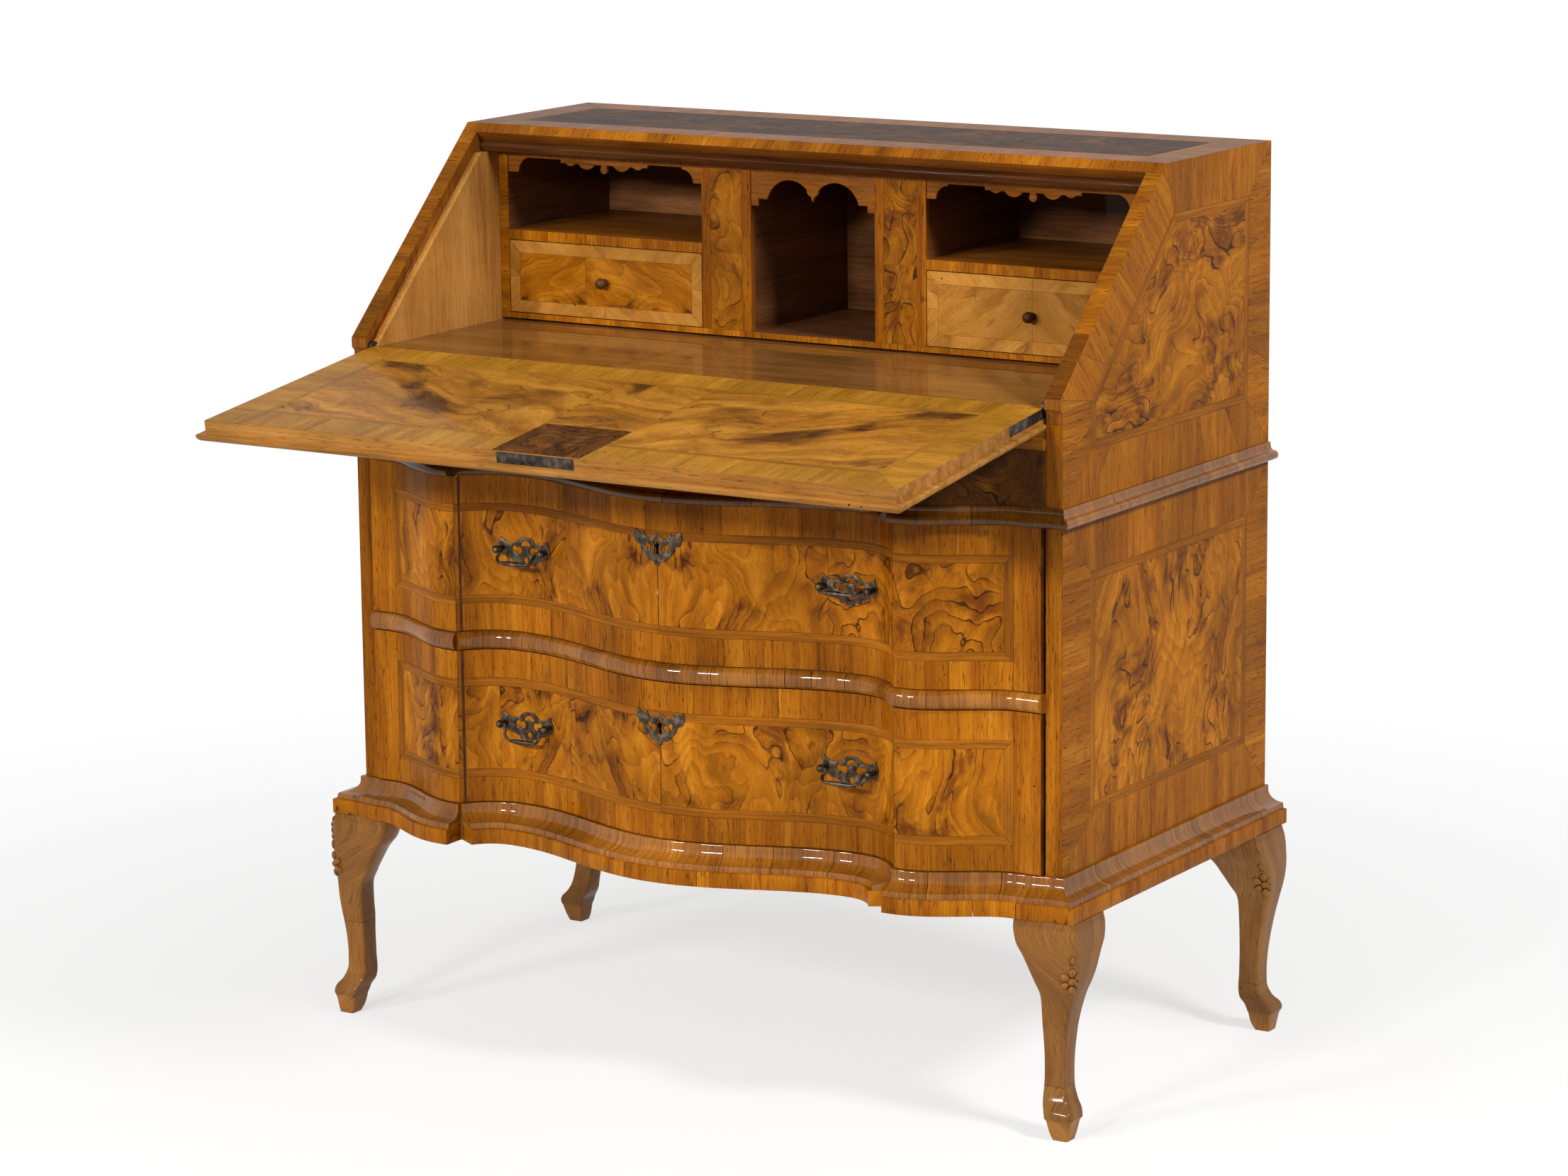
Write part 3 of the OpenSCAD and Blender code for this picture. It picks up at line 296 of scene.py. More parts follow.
    # the wild patches are red brown inside, clouded from dark to light
    cloud = addNode(tree, "ShaderNodeTexNoise",
                    {"Scale": look.get("cloudScale", 42.0), "Detail": 4.0, "Roughness": 0.6},
                    {"Vector": curled.outputs["Vector"]})
    clouded = addNode(tree, "ShaderNodeMapRange",
                      {"From Min": 0.42, "From Max": 0.62, "To Max": look["clouds"]},
                      {"Value": cloud.outputs["Fac"]})
    brown = addNode(tree, "ShaderNodeMath", {"operation": "MULTIPLY"},
                    {0: clouded.outputs["Result"], 1: wild.outputs["Result"]})
    burled = addNode(tree, "ShaderNodeMix", {"data_type": "RGBA", 7: linear(look["brown"])},
                     {0: brown.outputs[0], 6: colour.outputs["Color"]})
    dark = addNode(tree, "ShaderNodeMath", {"operation": "MULTIPLY", 1: look["veinDark"]},
                   {0: veins.outputs[0]})
    figured = addNode(tree, "ShaderNodeMix", {"data_type": "RGBA", 7: linear("#250f04")},
                      {0: dark.outputs[0], 6: burled.outputs[2]})
    fine = addNode(tree, "ShaderNodeMapping", {"Scale": (300, 1300, 1300)},
                   {"Vector": curled.outputs["Vector"]})
    vessels = addNode(tree, "ShaderNodeTexNoise", {"Scale": 1.0, "Detail": 1.0},
                      {"Vector": fine.outputs["Vector"]})
    pores = addNode(tree, "ShaderNodeMapRange", {"From Min": 0.62, "From Max": 0.74, "To Max": 0.4},
                    {"Value": vessels.outputs["Fac"]})
    pitted = addNode(tree, "ShaderNodeMath", {"operation": "MAXIMUM"},
                     {0: pores.outputs["Result"], 1: wormHoles(tree, vector, 38.0)})
    tinted = addNode(tree, "ShaderNodeMix", {"data_type": "RGBA", 7: linear("#1c0d05")},
                     {0: pitted.outputs[0], 6: figured.outputs[2]})
    finishWood(tree, tinted.outputs[2], leaf, pitted.outputs[0], look)
    return material


# Walnut burl, sliced and book-matched: dark veins close round knots in red brown, clouded wood, with calm
# honey patches between.
burl = burlWalnut("burlWalnutVeneer", {
    "swirl": 0.11, "curl": 0.010, "wild": 0.45, "calm": 0.12, "long": 5, "levels": 12, "knots": 0.7,
    "vein": 0.085, "layer": 0.13, "clouds": 0.8, "brown": "#592808", "veinDark": 0.82,
    "colours": [(0.34, "#814a08"), (0.46, "#98590b"), (0.54, "#a7640f"), (0.68, "#bd791d")]})
# Figured walnut bleached by light: golden, with few soft dark flames.
goldFigure = burlWalnut("goldenFiguredWalnutVeneer", {
    "swirl": 0.10, "curl": 0.012, "wild": 0.50, "calm": 0.06, "long": 4, "levels": 9, "knots": 0.3,
    "vein": 0.06, "layer": 0.05, "clouds": 0.88, "cloudScale": 11.0, "brown": "#42200a", "veinDark": 0.6,
    "colours": [(0.34, "#7e4b10"), (0.46, "#9c641c"), (0.54, "#ae7424"), (0.66, "#c38932")]})
# Plain walnut from the trunk: pale tan and almost without veins.
plainFigure = burlWalnut("plainFiguredWalnutVeneer", {
    "swirl": 0.05, "curl": 0.006, "wild": 0.58, "calm": 0.05, "long": 6, "levels": 8, "knots": 0.1,
    "vein": 0.06, "layer": 0.04, "clouds": 0.5, "brown": "#6a3f16", "veinDark": 0.5,
    "colours": [(0.30, "#835019"), (0.46, "#a06b28"), (0.56, "#ab7631"), (0.72, "#bb8840")]})
# Burl gone nearly black with stain and wear, with hardly any polish left on it.
darkBurl = burlWalnut("darkBurlWalnutVeneer", {
    "swirl": 0.10, "curl": 0.016, "wild": 0.44, "calm": 0.4, "long": 6, "levels": 9, "knots": 0.6,
    "vein": 0.08, "layer": 0.14, "clouds": 0.8, "brown": "#1b0c04", "veinDark": 0.85,
    "finish": {"Specular IOR Level": 0.01, "Coat Weight": 0.03},
    "colours": [(0.26, "#1a0c05"), (0.42, "#361d0a"), (0.56, "#553212"), (0.74, "#76491c")]})
# Straight-grained walnut laid across the edge: narrow rings 10 to 25 mm wide, red brown.
crossband = straightWalnut("crossbandWalnutVeneer", {
    "bend": 0.008, "rings": 40, "holes": 52, "pores": 0.75,
    "colours": [(0.30, "#6c3705"), (0.46, "#905108"), (0.58, "#a2610e"), (0.74, "#bb7a1c")]})
# The same, faded to gold on the inside of the fall.
goldBand = straightWalnut("goldenCrossbandVeneer", {
    "bend": 0.008, "rings": 36, "holes": 46, "pores": 0.6,
    "colours": [(0.30, "#7c4e0c"), (0.46, "#9a671b"), (0.58, "#aa7522"), (0.74, "#be8a30")]})
# Veneer bent over the mouldings and rubbed glossier than the flat: bright lines of light along it.
mouldWalnut = straightWalnut("polishedMouldingVeneer", {
    "bend": 0.02, "rings": 15, "holes": 40, "pores": 0.6, "wave": 0.12,
    "finish": {"Coat Weight": 0.65, "Coat Roughness": 0.03},
    "colours": [(0.30, "#57300a"), (0.44, "#794710"), (0.58, "#945c1a"), (0.74, "#b07a30")]})
# The small open compartments: dull, and dark in part as painted shade inside them.
fittingWalnut = {axis: straightWalnut("dullFittingWalnut" + axis.upper(), {
    "bend": 0.010, "rings": 30, "holes": 14, "pores": 0.4, "finish": {"Roughness": 0.5, "Coat Weight": 0.15},
    "colours": [(0.25, "#3a2011"), (0.45, "#5f3a20"), (0.6, "#744a2b"), (0.8, "#8c6038")]}, axis) for axis in "xy"}
# Narrow strips with the grain along them: fine even streaks.
lineBand = straightWalnut("lineBandWalnutVeneer", {
    "bend": 0.002, "rings": 110, "holes": 38, "pores": 0.35,
    "colours": [(0.32, "#6b3d0a"), (0.5, "#8c510e"), (0.68, "#a86818")]})
# Boards cut from the trunk, oiled by handling: mid brown.
solidWalnut = {axis: straightWalnut("solidWalnut" + axis.upper(), {
    "bend": 0.012, "rings": 34, "holes": 34, "pores": 0.4,
    "colours": [(0.25, "#4a250b"), (0.45, "#754213"), (0.6, "#8d561c"), (0.8, "#a86f2c")]}, axis) for axis in "xz"}
# Carved timber worn by feet and brooms: lighter, with open pores and a soft waxed gloss.
wornWalnut = straightWalnut("wornWalnutTimber", {
    "bend": 0.03, "rings": 16, "holes": 48, "pores": 0.6, "relief": 0.4,
    "finish": {"Roughness": 0.42, "Coat Weight": 0.35, "Coat Roughness": 0.10},
    "colours": [(0.28, "#674016"), (0.45, "#7e501e"), (0.6, "#8f5f27"), (0.78, "#a07034")]})
# The fall's lipping, rubbed pale at its edge.
edgeWalnut = straightWalnut("tanWalnutEdgeX", {
    "bend": 0.006, "rings": 60, "holes": 60, "pores": 0.5,
    "colours": [(0.25, "#6b3f15"), (0.45, "#9a652a"), (0.6, "#b07c3c"), (0.8, "#c89856")]}, "x")
# Timber out of the light, behind veneer and under the top: dark and dull.
darkWalnut = {axis: straightWalnut("darkWalnutTimber" + axis.upper(), {
    "bend": 0.010, "rings": 30, "holes": 14, "pores": 0.4, "finish": {"Roughness": 0.45, "Coat Weight": 0.2},
    "colours": [(0.25, "#241108"), (0.45, "#43240f"), (0.6, "#5a3518"), (0.8, "#724823")]}, axis) for axis in "xz"}
# The linings of the desk part: pale and even.
liningWalnut = straightWalnut("paleWalnutLining", {
    "bend": 0.012, "rings": 24, "holes": 30, "pores": 0.35,
    "colours": [(0.3, "#84501f"), (0.45, "#a77133"), (0.6, "#b88341"), (0.8, "#ca9b59")]}, "z")
# The bed, polished by sleeves: the fittings mirror in it faintly.
bedWalnut = straightWalnut("polishedBedWalnut", {
    "bend": 0.010, "rings": 26, "holes": 12, "pores": 0.45,
    "finish": {"Roughness": 0.3, "Coat Weight": 0.6, "Coat Roughness": 0.03},
    "colours": [(0.25, "#563417"), (0.45, "#7c5024"), (0.6, "#936331"), (0.8, "#a87a47")]}, "x")
# Unpolished softwood, planed by hand: brown with age and dry, no gloss.
pine = {axis: straightWalnut("agedSoftwood" + axis.upper(), {
    "bend": 0.014, "rings": 90, "holes": 12, "pores": 0.12, "relief": 0.1,
    "finish": {"Roughness": 0.72, "Coat Weight": 0.0, "Specular IOR Level": 0.25},
    "colours": [(0.25, "#6d4c2a"), (0.45, "#8f6a3e"), (0.6, "#a5804f"), (0.8, "#b99563")]}, axis) for axis in "xy"}


# metals
def oldMetal(name, look):
    material, tree = newMaterial(name)
    where = addNode(tree, "ShaderNodeTexCoord")
    cloudy = addNode(tree, "ShaderNodeTexNoise", {"Scale": look["clouds"], "Detail": 4.0},
                     {"Vector": where.outputs["Object"]})
    colour = addNode(tree, "ShaderNodeValToRGB", {"stops": look["colours"]}, {"Fac": cloudy.outputs["Fac"]})
    grit = addNode(tree, "ShaderNodeTexNoise", {"Scale": 900.0, "Detail": 2.0},
                   {"Vector": where.outputs["Object"]})
    bump = addNode(tree, "ShaderNodeBump", {"Strength": look["pits"], "Distance": 0.0003},
                   {"Height": grit.outputs["Fac"]})
    rough = addNode(tree, "ShaderNodeMapRange", {"To Min": look["rough"][0], "To Max": look["rough"][1]},
                    {"Value": cloudy.outputs["Fac"]})
    shader = addNode(tree, "ShaderNodeBsdfPrincipled", {"Metallic": look["metallic"]},
                     {"Base Color": colour.outputs["Color"], "Roughness": rough.outputs["Result"],
                      "Normal": bump.outputs["Normal"]})
    addNode(tree, "ShaderNodeOutputMaterial", None, {"Surface": shader.outputs["BSDF"]})
    return material


# Cast and filed brass under a brown patina: dull, dark, with a yellower gleam where it is rubbed.
bronze = oldMetal("patinatedBrass", {
    "clouds": 160.0, "pits": 0.3, "metallic": 0.8, "rough": (0.32, 0.55),
    "colours": [(0.3, "#29221a"), (0.5, "#453a2e"), (0.7, "#6e5d49")]})
# Forged and filed iron, waxed and worn: near black with brown rust in the hollows.
iron = oldMetal("wornForgedIron", {
    "clouds": 120.0, "pits": 0.5, "metallic": 0.75, "rough": (0.35, 0.6),
    "colours": [(0.3, "#241c16"), (0.5, "#3b342e"), (0.7, "#5f5850")]})
print("materials made")


# meshes
def newPiece():
    return {"points": [], "faces": [], "uv": [], "leaf": [], "slots": []}


def addRings(piece, rings, maps, slot=0, leaf=(0.5, 0.0)):
    # closed rings joined into one closed body with capped ends
    start, count = len(piece["points"]), len(rings[0])
    for k, (ring, grain) in enumerate(zip(rings, maps)):
        for point, uv in zip(ring, grain):
            piece["points"].append(point)
            piece["uv"].append(uv)
            piece["leaf"].append(leaf[k] if isinstance(leaf, list) else leaf)
    last = len(rings) - 1
    for k in range(last):
        for i in range(count):
            j = (i + 1) % count
            piece["faces"].append([start + k * count + i, start + k * count + j,
                                   start + (k + 1) * count + j, start + (k + 1) * count + i])
    piece["faces"].append([start + i for i in reversed(range(count))])
    piece["faces"].append([start + last * count + i for i in range(count)])
    piece["slots"] += [slot] * (last * count + 2)


def insetOutline(outline, gap):
    # the outline drawn in by half the joint; the shape is convex
    area = sum(a[0] * b[1] - b[0] * a[1] for a, b in zip(outline, outline[1:] + outline[:1]))
    points = outline if area > 0 else outline[::-1]
    lines = []
    for a, b in zip(points, points[1:] + points[:1]):
        length = math.hypot(b[0] - a[0], b[1] - a[1])
        nx, ny = -(b[1] - a[1]) / length, (b[0] - a[0]) / length
        lines.append((nx, ny, nx * a[0] + ny * a[1] + gap))
    result = []
    for (a, b, c), (d, e, f) in zip([lines[-1]] + lines[:-1], lines):
        cross = a * e - b * d
        result.append(((c * e - b * f) / cross, (a * f - c * d) / cross))
    return result


def spanAt(points, u):
    crossings = []
    for (u0, v0), (u1, v1) in zip(points, points[1:] + points[:1]):
        if min(u0, u1) - 1e-4 <= u <= max(u0, u1) + 1e-4:
            if abs(u1 - u0) < 1e-3:
                crossings += [v0, v1]
            else:
                crossings.append(v0 + (v1 - v0) * min(1, max(0, (u - u0) / (u1 - u0))))
    return min(crossings), max(crossings)


def addLeaf(piece, surface, outline, slot=0, grain=0, flip=False, tone=None, seed=None, anchor=None,
            gap=0.2, step=None, thick=0.45, sunk=0.1):
    # one leaf of veneer: a thin closed sheet on the surface, with its own cut of the wood
    at, along = surface
    points = insetOutline(outline, gap)
    ends = sorted({round(u, 5) for u, _ in points})
    stations = []
    for low, high in zip(ends, ends[1:]):
        pieces = max(1, math.ceil((high - low) / step)) if step else 1
        stations += [low + (high - low) * k / pieces for k in range(pieces)]
    stations.append(ends[-1])
    tone = chance.uniform(0.41, 0.57) if tone is None else tone
    seed = chance.random() if seed is None else seed
    au, av = anchor if anchor else (outline[0][0], outline[0][1])
    turn = math.radians(grain)
    cos, sin = math.cos(turn), math.sin(turn)
    rings, maps = [], []
    for u in stations:
        low, high = spanAt(points, u)
        s = (along(u) - along(au)) / 1000 * (-1 if flip else 1)
        ring = [(low, thick), (high, thick), (high, -sunk), (low, -sunk)]
        rings.append([at(u, v, d) for v, d in ring])
        maps.append([(s * cos + (v - av) / 1000 * sin, -s * sin + (v - av) / 1000 * cos) for v, _ in ring])
    addRings(piece, rings, maps, slot, (tone, seed))


def makePiece(name, piece, materials, body, replaces=(), sharp=32, merge=1e-6):
    mesh = bpy.data.meshes.new(name)
    mesh.from_pydata(piece["points"], [], piece["faces"])
    for material in materials:
        mesh.materials.append(material)
    mesh.polygons.foreach_set("material_index", piece["slots"])
    mesh.polygons.foreach_set("use_smooth", [True] * len(piece["faces"]))
    uvs = mesh.uv_layers.new(name="grain")
    corners = [0] * len(mesh.loops)
    mesh.loops.foreach_get("vertex_index", corners)
    uvs.data.foreach_set("uv", [value for c in corners for value in piece["uv"][c]])
    leaf = mesh.color_attributes.new("leaf", "FLOAT_COLOR", "CORNER")
    leaf.data.foreach_set("color", [value for c in corners for value in (*piece["leaf"][c], 0.0, 1.0)])
    shape = bmesh.new()
    shape.from_mesh(mesh)
    bmesh.ops.remove_doubles(shape, verts=shape.verts, dist=merge)
    bmesh.ops.dissolve_degenerate(shape, dist=merge, edges=shape.edges)
    bmesh.ops.recalc_face_normals(shape, faces=shape.faces)
    shape.to_mesh(mesh)
    shape.free()
    mesh.set_sharp_from_angle(angle=math.radians(sharp))
    thing = bpy.data.objects.new(name, mesh)
    bpy.context.collection.objects.link(thing)
    finishObject(thing, body, replaces)
    return thing


def finishObject(thing, body, replaces=()):
    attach(thing, body)
    if replaces:
        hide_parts(*replaces)


def settle(thing):
    # the modifiers' result becomes the object's own plain mesh
    bpy.context.view_layer.update()
    shaped = bpy.data.meshes.new_from_object(thing.evaluated_get(bpy.context.evaluated_depsgraph_get()))
    thing.modifiers.clear()
    thing.data = shaped


def cutHole(thing, name, rings, outline, body):
    cutter = newPiece()
    addRings(cutter, rings, [outline, outline])
    tool = makePiece(name, cutter, [burl], body)
    cut = thing.modifiers.new("hole", "BOOLEAN")
    cut.object, cut.solver, cut.operation = tool, "EXACT", "DIFFERENCE"
    settle(thing)
    bpy.data.objects.remove(tool)


def same(u):
    return u


def arc(radius, degrees, across=None, x=0, y=0):
    # points on an arc, or on an ellipse where the height differs
    high = radius if across is None else across
    return [(x + radius * math.cos(math.radians(t)), y + high * math.sin(math.radians(t))) for t in degrees]


def joints(low, high, parts, shift):
    # places of the joints between leaves, none quite even
    drawn = (low + (high - low) * chance.uniform(k - shift, k + shift) / parts for k in range(1, parts))
    return [low] + sorted(drawn) + [high]


def rectangle(x0, y0, x1, y1):
    return [(x0, y0), (x1, y0), (x1, y1), (x0, y1)]


def lie(a, b):  # the direction from one corner to the next, in degrees
    return math.degrees(math.atan2(b[1] - a[1], b[0] - a[0]))


def between(p, q, t):
    return (p[0] + (q[0] - p[0]) * t, p[1] + (q[1] - p[1]) * t)


frontFace = (lambda u, v, d: place(u, frontY(u) - d, v), run)
stileFront = (lambda u, v, d: place(u, -d, v), same)
rightSide = (lambda u, v, d: place(desk["caseHalf"] + d, u, v), same)
leftSide = (lambda u, v, d: place(-desk["caseHalf"] - d, u, v), same)


def fallPoint(x, s, depth):
    turn = math.radians(fall["droop"])
    return place(x, slant["pinY"] - s * math.cos(turn) + depth * math.sin(turn),
                 desk["bed"] - s * math.sin(turn) - depth * math.cos(turn))


def slopePoint(x, s, depth):
    turn = math.radians(slant["angle"])
    return place(x, slant["pinY"] + s * math.cos(turn) - depth * math.sin(turn),
                 desk["bed"] + s * math.sin(turn) + depth * math.cos(turn))


fallInside = (lambda u, v, d: fallPoint(u, v, -d), same)
fallOutside = (lambda u, v, d: fallPoint(u, v, fall["thick"] + d), same)


def addBand(piece, surface, slot, low, high, cuts, upright=True, **more):
    # a crossband: segments between the cuts along u, or along v where upright is False
    for a, b in zip(cuts, cuts[1:]):
        corners = rectangle(a, low, b, high) if upright else rectangle(low, a, high, b)
        addLeaf(piece, surface, corners, slot, grain=90 if upright else 0, **more)


def acrossFrom(inner, outer, t, square):
    # the point on the outer edge that belongs to a place on the inner one
    if not square or t in (0, 1):
        return between(*outer, t)
    (x, y), level = between(*inner, t), abs(inner[0][1] - inner[1][1]) < 1
    return (x, outer[0][1]) if level else (outer[0][0], y)


def addStrip(piece, surface, inner, outer, marks, grain, tones=None, square=False, **more):
    # the crossband leaves along one side of a frame, mitred at its corners
    for s, e in zip(marks, marks[1:]):
        if tones:
            more["tone"] = chance.uniform(*tones)
        corners = [between(*inner, s), between(*inner, e),
                   acrossFrom(inner, outer, e, square), acrossFrom(inner, outer, s, square)]
        addLeaf(piece, surface, corners, 1, grain=grain, **more)


def cutsBetween(low, high, least, most):
    cuts = [low]
    while high - cuts[-1] > most:
        cuts.append(cuts[-1] + chance.uniform(least, min(most, high - cuts[-1] - least * 0.6)))
    return cuts + [high]


# long drawers: veneered fronts
drawers = {
    "upper": {"low": 493.0, "high": 674.3, "bands": (524.7, 534.5, 632.5, 641.5), "body": "upper_drawer",
              "seams": [-404, -292, -152, 0, 190, 292, 404], "key": 624.3,
              "flips": [0, 0, 1, 0, 1, 0], "tones": [0.5, 0.53, 0.49, 0.5, 0.53, 0.5]},
    "lower": {"low": 290.3, "high": 470.2, "bands": (319.5, 329.5, 427.0, 437.0), "body": "lower_drawer",
              "seams": [-404, -292, -255, -150, 0, 186, 292, 404], "key": 420.2,
              "flips": [0, 1, 0, 1, 0, 1, 0], "tones": [0.5, 0.5, 0.5, 0.49, 0.47, 0.52, 0.52]},
}
bandLook = {"line": (404, 414), "crease": 292}
creases = [-414, -292, 292, 414]
for name, look in drawers.items():
    piece = newPiece()
    low, high = look["low"], look["high"]
    b0, b1, b2, b3 = look["bands"]
    seams = look["seams"]
    start = 0.13 + (0.4 if name == "lower" else 0)
    for i, (a, b) in enumerate(zip(seams, seams[1:])):
        flip = look["flips"][i] == 1
        # the veneer has shrunk apart at the middle seam
        a, b = a + 0.45 * (a == 0), b - 0.45 * (b == 0)
        addLeaf(piece, frontFace, rectangle(a, b1, b, b2), 0, grain=90, flip=flip, anchor=(b if flip else a, b1),
                tone=look["tones"][i], seed=start + 0.21 * (i // 2), step=3.0, gap=0.16)
    for z0, z1 in ((low, b0), (b3, high)):
        for a, b in zip(creases, creases[1:]):
            addBand(piece, frontFace, 1, z0, z1, cutsBetween(a, b, 30, 95), step=3.0)
    for side in (-1, 1):
        inner, outer = [side * k for k in bandLook["line"]]
        ends = sorted((outer, side * desk["drawerHalf"]))
        addLeaf(piece, frontFace, rectangle(ends[0], low, ends[1], high), 1, grain=90, step=3.0, tone=0.52)
        addLeaf(piece, frontFace, [(inner, b1), (outer, b0), (outer, b3), (inner, b2)], 2, grain=90, step=3.0)
    for z0, z1, i0, i1 in ((b0, b1, *bandLook["line"][::-1]), (b2, b3, *bandLook["line"])):
        # the long line bands, cut at the creases and mitred at the corners
        lowEdge, highEdge = [[-i, -bandLook["crease"], 0, bandLook["crease"], i] for i in (i0, i1)]
        for a, b, c, d in zip(lowEdge, lowEdge[1:], highEdge[1:], highEdge):
            addLeaf(piece, frontFace, [(a, z0), (b, z0), (c, z1), (d, z1)], 2, step=3.0)
    thing = makePiece(name + "DrawerVeneer", piece, [burl, crossband, lineBand], look["body"])
    # the keyhole goes through the veneer too
    hole = [(-1.9, -9.2), (1.9, -9.2)] + arc(3.3, range(-60, 241, 15))
    rings = [[place(x, y, look["key"] + z) for x, z in hole] for y in (-82, -70)]
    cutHole(thing, "keyCutter", rings, hole, look["body"])
print("long drawers veneered")


# sides
panels = {"low": (63, 350, 435, 617), "high": [(64, 750), (435, 750), (435, 985), (252, 985), (64, 804)],
          "line": 10, "middle": 250}
lower, upper = rectangle(*panels["low"]), panels["high"]
slopeRun = 1 / math.tan(math.radians(slant["angle"]))
edgeFoot = slant["pinY"] - slant["depth"] * math.sin(math.radians(slant["angle"]))
edgeFootZ = desk["bed"] + slant["depth"] * math.cos(math.radians(slant["angle"]))


def edgeY(z):  # the slanted front edge of the side at a height
    return edgeFoot + (z - edgeFootZ) * slopeRun


for label, surface, side in (("Right", rightSide, 1), ("Left", leftSide, -1)):
    piece = newPiece()
    inner = insetOutline(lower, panels["line"])
    addLeaf(piece, surface, inner, 0, grain=70, tone=0.52, seed=0.31 + side * 0.1, anchor=(panels["middle"], 350))
    for a, b, c, d in zip(lower, lower[1:] + lower[:1], inner, inner[1:] + inner[:1]):
        addLeaf(piece, surface, [a, b, d, c], 2, grain=0 if abs(a[1] - b[1]) < 1 else 90)
    # crossbands, mitred: the frame between the panel and the board's edges
    outer = rectangle(0, desk["baseTop"], desk["depth"], desk["waistLow"])
    for i, k in ((0, 1), (1, 2), (2, 3), (3, 0)):
        marks = joints(0, 1, max(3, round(math.dist(lower[i], lower[k]) / 70)), 0.3)
        addStrip(piece, surface, (lower[i], lower[k]), (outer[i], outer[k]), marks, 0 if i % 2 else 90, square=True)
    # upper part, following the slant
    inner = insetOutline(upper, panels["line"])
    addLeaf(piece, surface, inner, 0, grain=20, tone=0.5, seed=0.62 + side * 0.1, anchor=(panels["middle"], 750))
    edge = [(0, desk["waistTop"]), (desk["depth"], desk["waistTop"]), (desk["depth"], desk["top"]),
            (edgeY(desk["top"]), desk["top"]), (edgeFoot, edgeFootZ)]
    outer = [*zip(edge, edge[1:]), ((0, 799), edge[0])]
    for i in range(5):
        a, b = upper[i], upper[(i + 1) % 5]
        addLeaf(piece, surface, [a, b, inner[(i + 1) % 5], inner[i]], 2, grain=lie(a, b))
        marks = joints(0, 1, max(2, round(math.dist(a, b) / 60)), 0.3)
        addStrip(piece, surface, (a, b), outer[i], marks, lie(a, b) + 90)
    addLeaf(piece, surface, [(64, 804), (edgeFoot, edgeFootZ), (-4.4, 803.2), (0, 799)], 1, grain=0)
    makePiece("side%sVeneer" % label, piece, [burl, crossband, lineBand], "case")
print("sides veneered")


def addPlanks(piece, outline, x0, x1, slot=0, leaf=(0.5, 0.2)):
    # an outline in (y, z) carried along x
    rings = [[place(x, y, z) for y, z in outline] for x in (x0, x1)]
    grain = [(y / 1000, z / 1000) for y, z in outline]
    addRings(piece, rings, [grain, grain], slot, leaf)


# the boards behind the veneer of the sides and the top stand back by its thickness at the top
slip = 0.45
turn = math.radians(slant["angle"])


def slopeYZ(s, depth):
    return (slant["pinY"] + s * math.cos(turn) - depth * math.sin(turn),
            desk["bed"] + s * math.sin(turn) + depth * math.cos(turn))


topS = (desk["top"] - slip - desk["bed"] - (slant["depth"] - slip) * math.cos(turn)) / math.sin(turn)
sideOutline = [(6, desk["bottom"]), (desk["depth"], desk["bottom"]), (desk["depth"], desk["top"] - slip),
               slopeYZ(topS, slant["depth"] - slip), slopeYZ(0, slant["depth"] - slip),
               (-4.4, 803.2), (-2.2, 801.8), (-0.2, 799), (0.6, 795.5), (0, 792), (0, desk["bedUnder"]),
               (6, desk["bedUnder"])]
for label, side in (("right", 1), ("left", -1)):
    piece = newPiece()
    addPlanks(piece, sideOutline, side * 450, side * 470)
    piece["slots"][-1] = 1  # the ground under the veneer
    thing = makePiece(label + "SideBoard", piece, [solidWalnut["z"], darkWalnut["z"]], "case",
                      ("side_" + label,))
    circle = arc(3.3, range(0, 360, 10))  # the socket of the fall's pin
    rings = [[place(x, slant["pinY"] + a, desk["bed"] + b) for a, b in circle] for x in (side * 449, side * 459.5)]
    cutHole(thing, "pinCutter", rings, circle, "case")

piece = newPiece()
railBack = slopeYZ(slant["wall"], -0.5)[0] + 12
addPlanks(piece, [(desk["depth"], desk["top"] - desk["topThick"]), (desk["depth"], desk["top"] - slip),
                  slopeYZ(topS, slant["depth"] - slip), slopeYZ(slant["wall"], slant["depth"] - slip),
                  slopeYZ(slant["wall"], -0.5), (railBack, desk["top"] - desk["topThick"])], -450, 450)
makePiece("topBoardCore", piece, [solidWalnut["x"]], "case", ("top_board",))

topFace = (lambda u, v, d: place(u, v, desk["top"] - slip + d), same)
slopeFace = (lambda u, v, d: slopePoint(u, v, slant["depth"] - slip + d), same)
topLeaves = {"border": 42, "line": 7, "front": edgeY(desk["top"])}
piece = newPiece()
rim = rectangle(-desk["caseHalf"], topLeaves["front"], desk["caseHalf"], desk["depth"])
frame1 = insetOutline(rim, topLeaves["border"])
frame2 = insetOutline(frame1, topLeaves["line"])
for i, k in ((0, 1), (1, 2), (2, 3), (3, 0)):
    a, b = frame1[i], frame1[k]
    addLeaf(piece, topFace, [a, b, frame2[k], frame2[i]], 2, grain=lie(a, b))
    marks = joints(0, 1, max(3, round(math.dist(a, b) / 85)), 0.25)
    addStrip(piece, topFace, (a, b), (rim[i], rim[k]), marks, lie(a, b) + 90, (0.3, 0.4))
columns = [frame2[0][0], -225, 0, 225, frame2[1][0]]
for i, (a, b) in enumerate(zip(columns, columns[1:])):
    for j, (c, d) in enumerate(((frame2[0][1], 362), (362, frame2[2][1]))):
        addLeaf(piece, topFace, rectangle(a, c, b, d), 0, grain=90 * j, flip=i % 2 == 1,
                anchor=(b if i % 2 else a, c), seed=0.2 + 0.3 * (i // 2) + 0.1 * j, tone=0.5)
cuts = cutsBetween(-desk["caseHalf"], desk["caseHalf"], 55, 120)
